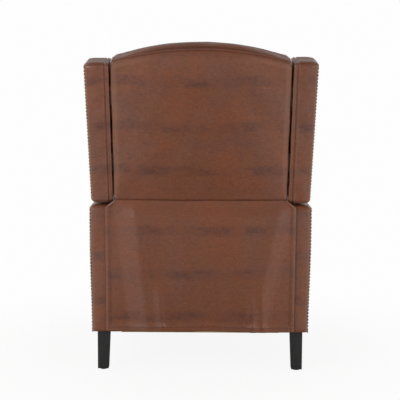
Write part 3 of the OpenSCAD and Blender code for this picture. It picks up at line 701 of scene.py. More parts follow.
@dataclass(frozen=True)
class PaintedWood(Finish):
    """Solid wood leg sprayed with a satin black lacquer: nearly black, with faint lines of the grain."""

    name: str = "wood_black_satin"
    base: str = "#222121"
    grains: tuple = (("lines", Grain(2.5, 4, (1.0, 1.0, 0.05), 0.6)), ("rubs", Grain(30, 3)))
    coats: tuple = ((Span("lines", 0.5, 0.8), "#322E2C"), (Span("rubs", 0.5, 0.8, end=0.25), "#3A3634"))
    rough: Span = Span("lines", 0.3, 0.7, 0.34, 0.46)
    bumps: tuple = (("lines", 0.12, 0.4),)


@dataclass(frozen=True)
class Softwood(Finish):
    """Planed pine and plywood of the hidden frame: pale, with darker growth lines and a dry surface."""

    name: str = "pine_planed"
    base: str = "#C9A878"
    grains: tuple = (("bends", Grain(120, 2, (0.15, 1, 1), 0.5, 0.3)),)
    coats: tuple = ((Span("rings", 0.35, 0.95), "#A67C4B"), (Span("bends", 0.45, 0.7, end=0.35), "#D8BE94"))
    rough: Span = Span("rings", 0.0, 1.0, 0.62, 0.74)
    bumps: tuple = (("rings", 0.15, 0.4),)
    ring: float = 14.0

    def more(self, f: FinishTree) -> None:
        """Adds the growth rings, drawn out along the boards.

        Args:
            f: The material's tree.
        """
        drawn = add(f.tree, "ShaderNodeMapping", {"Vector": f.place, "Scale": (0.08, 1.0, 1.0)}).outputs[0]
        f.patterns["rings"] = add(f.tree, "ShaderNodeTexWave", {
            "Vector": drawn, "Scale": per_metre(self.ring) / WAVE_BANDS, "Distortion": 5.0,
            "Detail": 3.0}).outputs["Fac"]


@dataclass(frozen=True)
class CoatedSteel(Finish):
    """Pressed steel strip with a thin black powder coat: dark grey and lightly pebbled."""

    name: str = "steel_powder_coated"
    base: str = "#2C2D2F"
    grains: tuple = (("clouds", Grain(24, 4)), ("peel", Grain(1.6, 2)))
    coats: tuple = ((Span("clouds", 0.4, 0.75, end=0.5), "#46474A"),)
    rough: Span = Span("peel", 0.3, 0.7, 0.4, 0.52)
    bumps: tuple = (("peel", 0.06, 0.5),)
    metallic: float = 0.35


@dataclass(frozen=True)
class ZincSteel(Finish):
    """Zinc-plated steel of pins, rivets and screws: bright grey with a clouded plating."""

    name: str = "steel_zinc_plated"
    base: str = "#A9ABAD"
    grains: tuple = (("clouds", Grain(6, 4)), ("crystals", Grain(0.9, 2)))
    coats: tuple = ((Span("clouds", 0.4, 0.7), "#7E8184"),)
    rough: Span = Span("clouds", 0.3, 0.7, 0.28, 0.42)
    bumps: tuple = (("crystals", 0.03, 0.4),)
    metallic: float = 1.0


@dataclass(frozen=True)
class SpringWire(Finish):
    """Oil-tempered spring wire: dark blue-grey, drawn along its length."""

    name: str = "wire_oil_tempered"
    base: str = "#3C4048"
    grains: tuple = (("drawn", Grain(3, 3, (1, 0.3, 1))),)
    coats: tuple = ((Span("drawn", 0.4, 0.7), "#5E6065"),)
    rough: Span = Span("drawn", 0.3, 0.7, 0.34, 0.48)
    bumps: tuple = (("drawn", 0.03, 0.4),)
    metallic: float = 0.9


@dataclass(frozen=True)
class NailBrass(Finish):
    """Domed upholstery nails in antiqued brass: rubbed bright on the crowns and stained brown in the hollows."""

    name: str = "brass_antiqued"
    base: str = "#B0906A"
    grains: tuple = (("stains", Grain(4, 4, (1, 1, 1), 0.6)), ("dents", Grain(1.5, 2)))
    coats: tuple = ((Span("stains", 0.35, 0.65), "#604A33"),)
    rough: Span = Span("stains", 0.3, 0.7, 0.32, 0.5)
    bumps: tuple = (("dents", 0.08, 0.5),)
    metallic: float = 0.9


@dataclass(frozen=True)
class WovenCloth(Finish):
    """Woven or needled cloth of the webbing and deck: matt, with crossed threads.

    The threads are drawn about twice as coarse as real ones, so that they show in a picture.
    """

    name: str = "webbing_jute"
    base: str = "#6E5A3C"
    grains: tuple = (("fluff", Grain(7, 4)),)
    coats: tuple = (("weave", "#A48C62"), (Span("fluff", 0.4, 0.7, end=0.3), "#6E5A3C"))
    rough: Span = Span("fluff", 0.3, 0.7, 0.82, 0.95)
    bumps: tuple = (("weave", 0.35, 0.6),)
    thread: float = 2.6

    def more(self, f: FinishTree) -> None:
        """Adds the weave, as warp threads crossed by weft threads.

        Args:
            f: The material's tree.
        """
        warp, weft = (add(f.tree, "ShaderNodeTexWave", {
            "Vector": f.place, "Scale": per_metre(self.thread) / WAVE_BANDS},
            bands_direction=way).outputs["Fac"] for way in ("X", "Y"))
        f.patterns["weave"] = reckoned(f.tree, warp, ("MULTIPLY", weft))


@dataclass(frozen=True)
class Thread(Finish):
    """Bonded nylon sewing thread: a slightly glossy twist, a shade paler than the leather."""

    name: str = "thread_brown"
    base: str = "#6A4434"
    grains: tuple = (("twist", Grain(0.8, 2, (1, 1, 0.4))),)
    coats: tuple = (("twist", "#8A5F4A"),)
    rough: Span = Span("twist", 0.3, 0.7, 0.5, 0.62)
    bumps: tuple = (("twist", 0.05, 0.5),)


@dataclass(frozen=True)
class MouldedPlastic(Finish):
    """Injection-moulded nylon of the glides: near black, with a fine spark-eroded texture."""

    name: str = "nylon_moulded"
    base: str = "#1E1E20"
    grains: tuple = (("scuffs", Grain(5, 4)), ("sparks", Grain(0.6, 2)))
    coats: tuple = ((Span("scuffs", 0.45, 0.75), "#3A3A3D"),)
    rough: Span = Span("sparks", 0.3, 0.7, 0.45, 0.6)
    bumps: tuple = (("sparks", 0.04, 0.5),)


class Finishes:
    """All materials of the chair, each made once."""

    def __init__(self) -> None:
        """Makes the materials."""
        self.leather = FauxLeather().make()
        self.sheet_leather = FauxLeather(name="faux_leather_flap", follows=Pattern.SURFACE, first_row=-96.0).make()
        # The piping's leather is darker than the cover's: partly its own tone, partly painted shade for the valley
        # along the back's arch.
        self.piping = FauxLeather(name="faux_leather_piping", base="#6A402F", coats=leather_coats("#86584A"),
                                  rough=Span("mottle", 0.3, 0.75, 0.29, 0.43)).make()
        self.black_wood = PaintedWood().make()
        self.timber = Softwood().make()
        self.steel = CoatedSteel().make()
        self.zinc = ZincSteel().make()
        self.wire = SpringWire().make()
        self.brass = NailBrass().make()
        self.webbing = WovenCloth().make()
        self.deck = WovenCloth(
            name="felt_needled", base="#3A3A3C", thread=2.2,
            coats=(("weave", "#5A5A5C"), (Span("fluff", 0.4, 0.7, end=0.3), "#3A3A3C"))).make()
        self.thread = Thread().make()
        self.nylon = MouldedPlastic().make()


# Geometry Nodes for what repeats along a line or at places


@dataclass
class Line:
    """Places or a line that small parts are set on, in chair millimetres, and the way out of the surface."""

    points: Array
    out: Array | Sequence[float]
    closed: bool = False

    def __post_init__(self) -> None:
        """Gives every point its way out."""
        self.out = np.broadcast_to(np.asarray(self.out, float), self.points.shape)

    def mirrored(self) -> Line:
        """The same line on the other side of the chair."""
        return Line(self.points * [-1, 1, 1], self.out * [-1, 1, 1], self.closed)


class RepeatTree:
    """Geometry Nodes tree that sets one small shape along lines or at points."""

    def __init__(self, name: str, sizes: dict[str, str]) -> None:
        """Starts the tree with its named inputs.

        Args:
            name: Name of the tree.
            sizes: Socket type of each input, by its name.
        """
        self.tree = bpy.data.node_groups.new(name, "GeometryNodeTree")
        face = self.tree.interface
        face.new_socket("Geometry", in_out="INPUT", socket_type="NodeSocketGeometry")
        for label, kind in sizes.items():
            face.new_socket(label, in_out="INPUT", socket_type=kind)
        face.new_socket("Geometry", in_out="OUTPUT", socket_type="NodeSocketGeometry")
        self.given = add(self.tree, "NodeGroupInput").outputs

    def out(self) -> bpy.types.NodeSocket:
        """The stored way out of the surface."""
        return add(self.tree, "GeometryNodeInputNamedAttribute", {"Name": "out"},
                   data_type="FLOAT_VECTOR").outputs["Attribute"]

    def resampled(self) -> bpy.types.NodeSocket:
        """The given lines as curves with points a pitch apart."""
        curve = add(self.tree, "GeometryNodeMeshToCurve", {"Mesh": self.given["Geometry"]}).outputs[0]
        return add(self.tree, "GeometryNodeResampleCurve", {"Curve": curve, "Length": self.given["Pitch"]},
                   mode="LENGTH").outputs[0]

    def shaped_ball(self, segments: int, rings: int, scale: Sequence[bpy.types.NodeSocket],
                    floor: float) -> bpy.types.NodeSocket:
        """Ball cut off below a share of its height and stretched along its axes.

        Args:
            segments: Faces round it.
            rings: Faces from pole to pole.
            scale: Half lengths along its axes.
            floor: Share of its height that it is cut off below.

        Returns:
            The shape.
        """
        ball = add(self.tree, "GeometryNodeMeshUVSphere",
                   {"Segments": segments, "Rings": rings, "Radius": 1.0}).outputs["Mesh"]
        place = add(self.tree, "ShaderNodeSeparateXYZ",
                    {0: add(self.tree, "GeometryNodeInputPosition").outputs[0]}).outputs
        low = reckoned(self.tree, place[2], ("MAXIMUM", floor))
        axes = [reckoned(self.tree, a, ("MULTIPLY", b)) for a, b in zip((place[0], place[1], low), scale)]
        moved = add(self.tree, "ShaderNodeCombineXYZ", {0: axes[0], 1: axes[1], 2: axes[2]}).outputs[0]
        return add(self.tree, "GeometryNodeSetPosition", {"Geometry": ball, "Position": moved}).outputs[0]

    def ends(self, points: bpy.types.NodeSocket, shape: bpy.types.NodeSocket,
             turn: bpy.types.NodeSocket) -> bpy.types.NodeTree:
        """Sets the shape on the points and gives the finished tree.

        Args:
            points: Where the shape is set.
            shape: The shape.
            turn: How it is turned at each.

        Returns:
            The tree.
        """
        many = add(self.tree, "GeometryNodeInstanceOnPoints",
                   {"Points": points, "Instance": shape, "Rotation": turn}).outputs[0]
        real = add(self.tree, "GeometryNodeRealizeInstances", {0: many}).outputs[0]
        soft = add(self.tree, "GeometryNodeSetShadeSmooth", {"Geometry": real}).outputs[0]
        done = add(self.tree, "GeometryNodeSetMaterial",
                   {"Geometry": soft, "Material": self.given["Finish"]}).outputs[0]
        add(self.tree, "NodeGroupOutput", {"Geometry": done})
        return self.tree


def nail_tree() -> bpy.types.NodeTree:
    """Tree for a row of domed nail heads: Pitch, Diameter and Height of the heads, and their Finish.

    Returns:
        The tree.
    """
    t = RepeatTree("nail_row", {"Pitch": "NodeSocketFloat", "Diameter": "NodeSocketFloat",
                                "Height": "NodeSocketFloat", "Finish": "NodeSocketMaterial"})
    radius = reckoned(t.tree, t.given["Diameter"], ("MULTIPLY", 0.5))
    dome = t.shaped_ball(12, 7, (radius, radius, t.given["Height"]), -0.3)
    turn = add(t.tree, "FunctionNodeAlignRotationToVector", {"Vector": t.out()}, axis="Z").outputs[0]
    return t.ends(t.resampled(), dome, turn)


def stitch_tree() -> bpy.types.NodeTree:
    """Tree for a row of stitches: Pitch, Length and Thickness of the stitches, and their Finish.

    Returns:
        The tree.
    """
    t = RepeatTree("stitch_row", {"Pitch": "NodeSocketFloat", "Length": "NodeSocketFloat",
                                  "Thickness": "NodeSocketFloat", "Finish": "NodeSocketMaterial"})
    half, thick = (reckoned(t.tree, t.given[name], ("MULTIPLY", 0.5)) for name in ("Length", "Thickness"))
    stitch = t.shaped_ball(6, 5, (half, thick, thick), -1.0)
    tangent = add(t.tree, "GeometryNodeInputTangent").outputs[0]
    along = add(t.tree, "FunctionNodeAlignRotationToVector", {"Vector": tangent}, axis="X").outputs[0]
    turn = add(t.tree, "FunctionNodeAlignRotationToVector", {"Rotation": along, "Vector": t.out()},
               axis="Z", pivot_axis="X").outputs[0]
    return t.ends(t.resampled(), stitch, turn)


def fastener_tree() -> bpy.types.NodeTree:
    """Tree that sets a Head at each point, with its Z out of the surface, and gives it its Finish.

    Returns:
        The tree.
    """
    t = RepeatTree("fasteners", {"Head": "NodeSocketObject", "Finish": "NodeSocketMaterial"})
    points = add(t.tree, "GeometryNodeMeshToPoints", {"Mesh": t.given["Geometry"]}).outputs[0]
    head = add(t.tree, "GeometryNodeObjectInfo", {"Object": t.given["Head"]}).outputs["Geometry"]
    turn = add(t.tree, "FunctionNodeAlignRotationToVector", {"Vector": t.out()}, axis="Z").outputs[0]
    return t.ends(points, head, turn)


class Repeats:
    """Small repeated parts, grown with Geometry Nodes and turned into plain meshes."""

    def __init__(self, datum: Datum) -> None:
        """Makes the three trees and the screw head.

        Args:
            datum: The chair's place in the row frame.
        """
        self.datum = datum
        self.nails, self.stitches, self.fasteners = nail_tree(), stitch_tree(), fastener_tree()
        self.screw = self.screw_head()

    def screw_head(self, sides: int = 16) -> bpy.types.Object:
        """Makes a pan head with a cross recess at the origin, out of the scene, for the tree to repeat.

        Args:
            sides: Points round it.

        Returns:
            The head.
        """
        angles = 2 * math.pi * np.arange(sides) / sides
        cross = 0.7 + 1.5 * np.abs(np.cos(2 * angles)) ** 6
        profile = [(3.6, -0.3), (4.0, 0.0), (4.0, 0.9), (3.5, 1.7), (2.6, 2.2), (cross, 2.25), (cross * 0.75, 1.0)]
        points, faces = loft(np.array([
            np.stack([r * np.cos(angles), r * np.sin(angles), np.full(sides, z)], axis=1) for r, z in profile]))
        head = piece_from("screw_head", self.datum.chair(points * MM), faces, self.datum)
        bpy.context.scene.collection.objects.unlink(head)
        return head

    def grow(self, name: str, lines: Sequence[Line], tree: bpy.types.NodeTree, given: dict[str, object],
             material: bpy.types.Material, body: Body) -> bpy.types.Object:
        """Grows a tree's shapes on lines or places.

        Args:
            name: Name of the piece.
            lines: Lines, or places as lines that are only read at their points.
            tree: The tree.
            given: Values of the tree's named inputs.
            material: Material of the shapes.
            body: Body that the piece rides on.

        Returns:
            The piece, as a plain mesh.
        """
        points, out, edges = [], [], []
        for line in lines:
            first = len(points)
            points.extend(self.datum.row(line.points).tolist())
            out.extend(line.out.tolist())
            last = len(points) - 1
            edges.extend((k, k + 1) for k in range(first, last))
            if line.closed:
                edges.append((last, first))
        mesh = bpy.data.meshes.new(name)
        mesh.from_pydata(points, edges, [])
        mesh.attributes.new("out", "FLOAT_VECTOR", "POINT").data.foreach_set("vector", np.array(out).ravel())
        obj = bpy.data.objects.new(name, mesh)
        bpy.context.scene.collection.objects.link(obj)
        modifier = obj.modifiers.new("repeats", "NODES")
        modifier.node_group = tree
        sockets = {s.name: s.identifier for s in tree.interface.items_tree if s.in_out == "INPUT"}
        for label, value in {**given, "Finish": material}.items():
            modifier[sockets[label]] = value
        flatten(obj)
        return finish_piece(obj, material, body)

    def nail_row(self, name: str, lines: Sequence[Line], material: bpy.types.Material,
                 body: Body) -> bpy.types.Object:
        """Row of domed nails, touching their neighbours."""
        return self.grow(name, lines, self.nails, {"Pitch": 10.6 * MM, "Diameter": 9.6 * MM, "Height": 3.0 * MM},
                         material, body)

    def stitch_row(self, name: str, lines: Sequence[Line], material: bpy.types.Material,
                   body: Body | None) -> bpy.types.Object:
        """Row of lockstitches."""
        return self.grow(name, lines, self.stitches,
                         {"Pitch": 4.6 * MM, "Length": 3.7 * MM, "Thickness": 1.1 * MM}, material, body)

    def screws(self, name: str, places: Line, material: bpy.types.Material, body: Body) -> bpy.types.Object:
        """Screw heads at some places on both sides of the chair."""
        return self.grow(name, [places, places.mirrored()], self.fasteners, {"Head": self.screw}, material, body)


# Stuffing


@dataclass(frozen=True)
class Stuffing:
    """How a cushion's cover is filled: a short cloth run with air pressure inside it."""

    voxel: float = 6.0
    pressure: float = 4.0
    frames: int = 20
    cap: float = 24.0
    share: float = 1.0

    def fill(self, obj: bpy.types.Object, datum: Datum, held: Callable[[Array], Array]) -> None:
        """Puffs a closed mesh up, then smooths it with one subdivision.

        Args:
            obj: The cushion's start shape, replaced by its filled one.
            datum: The chair's place in the row frame.
            held: Gives how firmly each point is held, from 0 to 1.
        """
        remesh = obj.modifiers.new("voxels", "REMESH")
        remesh.mode, remesh.voxel_size, remesh.use_smooth_shade = "VOXEL", self.voxel * MM, True
        flatten(obj)
        self.puff(obj, datum, held)
        subdivision = obj.modifiers.new("subdivision", "SUBSURF")
        subdivision.levels = subdivision.render_levels = 1
        flatten(obj)

    def puff(self, obj: bpy.types.Object, datum: Datum, held: Callable[[Array], Array]) -> None:
        """Runs the cloth and keeps its result, with no point moved further than the cap.

        Args:
            obj: The cushion's start shape.
            datum: The chair's place in the row frame.
            held: Gives how firmly each point is held.
        """
        start = points_of(obj, datum)
        group = obj.vertex_groups.new(name="held")
        weights = held(start)
        for level in np.unique(np.round(weights, 1)):
            if level > 0:
                group.add(np.flatnonzero(np.round(weights, 1) == level).tolist(), float(level), "REPLACE")
        cloth = obj.modifiers.new("cover", "CLOTH")
        cloth.settings.quality, cloth.settings.mass = 5, 0.3
        cloth.settings.use_pressure = True
        cloth.settings.uniform_pressure_force = self.pressure
        cloth.settings.effector_weights.gravity = 0
        cloth.settings.vertex_group_mass = group.name
        scene = bpy.context.scene
        for frame in range(1, self.frames + 1):
            scene.frame_set(frame)
        evaluated = obj.evaluated_get(bpy.context.evaluated_depsgraph_get())
        flat = np.zeros(len(start) * 3)
        evaluated.data.vertices.foreach_get("co", flat)
        obj.modifiers.clear()
        obj.vertex_groups.clear()
        scene.frame_set(1)
        move = (datum.chair(flat.reshape(-1, 3)) - start) * self.share
        size = np.linalg.norm(move, axis=1)
        move *= np.minimum(1.0, self.cap / np.maximum(size, 1e-9))[:, None]
        put_points(obj, start + move, datum)
        LOG.info("%s puffed by %.1f mm at most", obj.name, float(size.max()))


def roughen(obj: bpy.types.Object, datum: Datum, unevenness: Unevenness, depth: float) -> None:
    """Moves a mesh's points along their normals by a smooth unevenness of a depth in millimetres."""
    points = points_of(obj, datum)
    put_points(obj, points + normals_of(obj) * (unevenness.at(points) * depth)[:, None], datum)


# Arms and wings


@dataclass
class BackShape:
    """Arched outline that the outside and the inside of the back share, and the wings stand beside."""

    seam_half: float = 271.0
    head_half: float = 274.0
    side: float = 438.0
    rise: float = 38.0
    crown_half: float = 238.0

    def half(self, w: Array) -> Array:
        """Half width at a height above the seam."""
        return self.seam_half + (self.head_half - self.seam_half) * np.clip(w / self.side, 0, 1)

    def crown(self, x: Array) -> Array:
        """Share of the arch's puffed crown, full in its middle and none at its corners."""
        return np.clip(1 - (np.abs(x) / self.crown_half) ** 2.4, 0, 1)

    def arch(self, x: Array, corner: float = 0.0, inset: float = 0.0) -> Array:
        """Height of the arched top, with rounded corners.

        Args:
            x: Places across.
            corner: Radius of the two top corners.
            inset: Distance inside the outline.

        Returns:
            The heights above the seam.
        """
        radius = (self.head_half ** 2 + self.rise ** 2) / (2 * self.rise)
        top = self.side + self.rise - radius + np.sqrt(radius ** 2 - np.minimum(np.abs(x), self.head_half) ** 2)
        past = np.clip(np.abs(x) - (self.head_half - inset - corner), 0, corner) if corner else 0 * x
        return top - inset - (corner - np.sqrt(np.maximum(corner ** 2 - past ** 2, 0)) if corner else 0)


@dataclass(frozen=True)
class Section:
    """Section across an upholstered slab, from its inner face over its band to its outer face."""

    width: float
    inner_edge: float = 8.0
    outer_edge: float = 11.0
    face_crown: float = 2.5
    band_crown: float = 1.6
    puffed: float = 75.0
    seam: float = 11.0
    seam_depth: float = 2.4
    seam_width: float = 1.9
    lip: float = 3.8
    pucker: float = 0.35
    pucker_length: float = 17.0
    cross_depth: float = 2.6
    step: float = 3.5

    def band(self) -> Array:
        """Stations over the band, as distance across, inset from the outline and share of wear and painted highlight
        on its rounded edges.

        Returns:
            The stations, one row each.
        """
        rows = []
        for a in np.radians(np.linspace(0, 90, 8)):
            rows.append((self.inner_edge * (1 - math.cos(a)), self.inner_edge * (1 - math.sin(a)), math.sin(2 * a)))
        last = self.width - self.outer_edge
        fine = np.linspace(self.seam - 4, self.seam + 5, 10)
        middle = np.unique(np.concatenate([fine[fine > self.inner_edge + 0.5],
                                           np.arange(self.seam + 6, last, self.step)]))
        rows += [(e, 0.0, 0.0) for e in middle]
        for a in np.radians(np.linspace(90, 0, 9)):
            rows.append((self.width - self.outer_edge * (1 - math.cos(a)), self.outer_edge * (1 - math.sin(a)),
                         math.sin(2 * a)))
        table = np.array(rows)
        share = np.clip((table[:, 0] - self.inner_edge) / (last - self.inner_edge), 0, 1)
        table[:, 1] -= self.band_crown * (1 - (2 * share - 1) ** 4)
        return table


class Slab:
    """Upholstered slab: an outline seen from the side, a section across it, and where both lie."""

    face_shares = (0.03, 0.12, 0.25, 0.4, 0.54, 0.66, 0.76, 0.84, 0.9, 0.94, 0.97, 0.99)

    def __init__(self, outline: Array, section: Section, place: Callable[[Array, Array], Array], seed: int,
                 cross_seams: Sequence[tuple[float, float]] = (), low_share: float = 1.0) -> None:
        """Keeps the outline and how it is placed.

        Args:
            outline: Closed counterclockwise outline.
            section: The section across.
            place: Turns distances across and outline points into chair points.
            seed: Seed of its creases.
            cross_seams: Outline places at which the band is seamed across.
            low_share: Share of the edge's rounding on the outline's lower side.
        """
        rows = spread(np.hstack([outline, outward(outline)]), 1.3, cross_seams)
        outline, self.out = rows[:, :2], rows[:, 2:]
        self.outline, self.section, self.place, self.seed = outline, section, place, seed
        self.out[:, 1] = np.where(self.out[:, 1] < -0.5, self.out[:, 1] * low_share, self.out[:, 1])
        self.cross = np.zeros(len(outline))
        for seam in cross_seams:
            self.cross = np.maximum(self.cross, hump(np.linalg.norm(outline - np.array(seam), axis=1), 0, 2.2))

    def at(self, across: float, inset: Array | float) -> Array:
        """Ring of the slab's skin at a distance across and an inset from the outline."""
        flat = self.outline - self.out * np.broadcast_to(inset, len(self.outline))[:, None]
        return self.place(np.full(len(flat), across), flat)

    def skin(self) -> tuple[Array, Faces, Array]:
        """Points, faces and marks of wear and painted light of the whole slab.

        Returns:
            The points, the faces and the share of wear and painted light at each point.
        """
        s = self.section
        around = lengths_along(self.outline)
        pucker = np.sin(2 * math.pi * around / s.pucker_length + 2 * np.sin(around / 61 + self.seed))
        rings, wear = [], []
        for across, crown in ((0.0, -s.face_crown), (s.width, s.face_crown)):
            edge = s.inner_edge if across == 0 else s.outer_edge
            base = self.outline - self.out * edge
            centre = base.mean(axis=0)
            found = []
            for share in self.face_shares:
                flat = centre + (base - centre) * share
                rise = crown * (1 - (1 - np.clip(inside_by(flat, base) / s.puffed, 0, 1)) ** 3)
                found.append(self.place(np.full(len(flat), across + rise), flat))
            rings.append(found)
        band = []
        for across, inset, edge_rub_and_highlight in s.band():
            near = hump(across, s.seam, s.seam_width) if abs(across - s.seam) < 6 else 0.0
            ripple = s.pucker * hump(across, s.seam, 7.0) * pucker
            ridge = 1.1 * hump(across, s.seam - s.lip, 1.8) + 0.5 * hump(across, s.seam + s.lip, 1.8)
            on_band = 0.0 if across in (0.0, s.width) else 1.0
            inset = inset + s.seam_depth * near - ridge - ripple * on_band + s.cross_depth * self.cross * on_band
            band.append(self.at(across, inset))
            # Painted highlight on the rounded edges and on the ridge beside the seam, over some rubbing there;
            # painted shade in the seam's groove and along the cross seams.
            rubbed_and_highlit = 0.75 * edge_rub_and_highlight + 0.45 * hump(across, s.seam - s.lip, 1.6)
            wear.append(rubbed_and_highlit - 0.5 * near - 0.6 * self.cross * on_band)
        rings = np.array(rings[0] + band + rings[1][::-1])
        none = [np.zeros(len(self.outline))] * len(self.face_shares)
        points, faces = loft(rings)
        return points, faces, np.concatenate([np.concatenate(none + wear + none), [0.0, 0.0]])

    def face_line(self, inset: float) -> Line:
        """Closed line on the outer face at an inset from the outline."""
        return Line(self.at(self.section.width, inset), [1, 0, 0], closed=True)


@dataclass
class Arms:
    """The two upholstered arms, which stand on the legs and carry everything else."""

    datum: Datum
    finishes: Finishes
    repeats: Repeats
    width: float = 95.0
    length: float = 715.0
    inner: float = 251.0
    low: float = 126.0
    top: float = 534.0
    toe: float = 13.0
    heel: float = 16.0
    nose: float = 40.0
    swell: float = 2.8
    nail_inset: float = 10.0

    def slab(self) -> Slab:
        """The left arm's form.

        Returns:
            The form.
        """
        corners = [(-self.length, self.low), (0, self.low), (0, self.top), (-self.length, self.top)]
        outline = spread(rounded(corners, [self.toe, self.toe, self.heel, self.nose]), 8.0)

        def place(across: Array, flat: Array) -> Array:
            """Puts the outline upright beside the seat, stuffed a little fuller towards its top.

            Args:
                across: Distances across.
                flat: Outline points.

            Returns:
                The points.
            """
            share = (flat[:, 1] - self.low) / (self.top - self.low)
            fuller = self.swell * (2 * smooth(share * 1.35) - 1) * across / self.width
            return np.stack([self.inner + across + fuller, flat[:, 0], flat[:, 1]], axis=1)

        seams = [(-self.heel - 1, self.top), (-self.length, self.top - self.nose - 1)]
        return Slab(outline, Section(self.width), place, 3, seams, low_share=0.25)

    def front_line(self) -> Line:
        """Line of nails round the front face of the left arm.

        Returns:
            The line.
        """
        half, inset = self.width / 2, self.nail_inset
        low, high = self.low + 12, self.top - self.nose + 4
        corners = [(inset, low), (self.width - inset, low), (self.width - inset, high), (inset, high)]
        flat = spread(rounded(corners, [6, 6, half - inset - 1, half - inset - 1], 10), 6.0)
        points = np.stack([self.inner + flat[:, 0], np.full(len(flat), -self.length - 1.4), flat[:, 1]], axis=1)
        return Line(points, [0, -1, 0], closed=True)

    def build(self) -> None:
        """Makes both arms with their nails."""
        slab = self.slab()
        points, faces, wear = slab.skin()
        side_line, front = slab.face_line(self.nail_inset), self.front_line()
        for side in Side:
            name = side.name.lower()
            arm = piece_from(f"arm_cover_{name}", points * [side.value, 1, 1], faces, self.datum, wear)
            roughen(arm, self.datum, Unevenness(11 + side.value, 70.0), 0.45)
            finish_piece(arm, self.finishes.leather, Body.BASE, [f"{name}_arm"])
            lines = [side_line, front] if side is Side.LEFT else [side_line.mirrored(), front.mirrored()]
            self.repeats.nail_row(f"arm_nails_{name}", lines, self.finishes.brass, Body.BASE)


@dataclass
class Wings:
    """The two upholstered wings, bolted to the back and reclining with it."""

    datum: Datum
    finishes: Finishes
    repeats: Repeats
    foot: float = 67.0
    head: float = 74.0
    gap: float = 5.0
    shape: BackShape = field(default_factory=BackShape)
    rear: float = 3.0
    rise: float = 434.0
    bottom_z: float = 544.0
    foot_reach: float = 196.0
    head_reach: float = 150.0
    head_fall: float = 11.0
    nail_inset: float = 10.0

    def slab(self, fuller: float) -> Slab:
        """A wing's form, on the left.

        Args:
            fuller: How much higher its top is stuffed than the pattern has it.

        Returns:
            The form.
        """
        cos, sin = math.cos(self.datum.lean), math.sin(self.datum.lean)

        def level(v: float) -> float:
            """Height along the lean of the level bottom, at a distance in front of the back's rear face."""
            return (self.bottom_z - self.datum.seam_z - v * sin) / cos

        foot_v = self.rear + self.foot_reach
        low = level(foot_v)
        tall = self.rise - low
        fronts = [(-foot_v * k, low + tall * s) for k, s in ((1.04, 0.69), (1.2, 0.41), (1.18, 0.19))]
        corners = [(-foot_v, low), (-self.rear, level(self.rear)), (-self.rear, self.rise),
                   (-self.head_reach, self.rise - self.head_fall)] + fronts
        outline = spread(rounded(corners, [22, 18, 14, 55, 500, 400, 320], 10), 7.0)

        def place(across: Array, flat: Array) -> Array:
            """Puts the outline beside the back, widening towards its top.

            Args:
                across: Distances across.
                flat: Outline points.

            Returns:
                The points.
            """
            share = flat[:, 1] / self.shape.side
            inner = self.shape.seam_half + (self.shape.head_half - self.shape.seam_half) * share + self.gap
            stretch = (self.foot + (self.head - self.foot) * share) / self.foot
            high = flat[:, 1] + fuller * smooth((flat[:, 1] - self.rise + 110) / 100)
            return self.datum.on_back(inner + across * stretch, -flat[:, 0], high)

        seams = [(-self.rear - 5.5, self.rise - 3.0), (-self.rear - 4, level(self.rear) + 3)]
        section = Section(self.foot, inner_edge=5.0, outer_edge=8.0, band_crown=1.8, seam=12.0)
        return Slab(outline, section, place, 8, seams)

    def build(self) -> None:
        """Makes both wings with their nails."""
        for side, fuller in ((Side.LEFT, -1.6), (Side.RIGHT, 3.6)):
            slab = self.slab(fuller)
            points, faces, wear = slab.skin()
            line = slab.face_line(self.nail_inset)
            name = side.name.lower()
            wing = piece_from(f"wing_cover_{name}", points * [side.value, 1, 1], faces, self.datum, wear)
            roughen(wing, self.datum, Unevenness(21 + side.value, 60.0), 0.4)
            finish_piece(wing, self.finishes.leather, Body.BACK, [f"{name}_wing"])
            lines = [line] if side is Side.LEFT else [line.mirrored()]
            self.repeats.nail_row(f"wing_nails_{name}", lines, self.finishes.brass, Body.BACK)


# The back


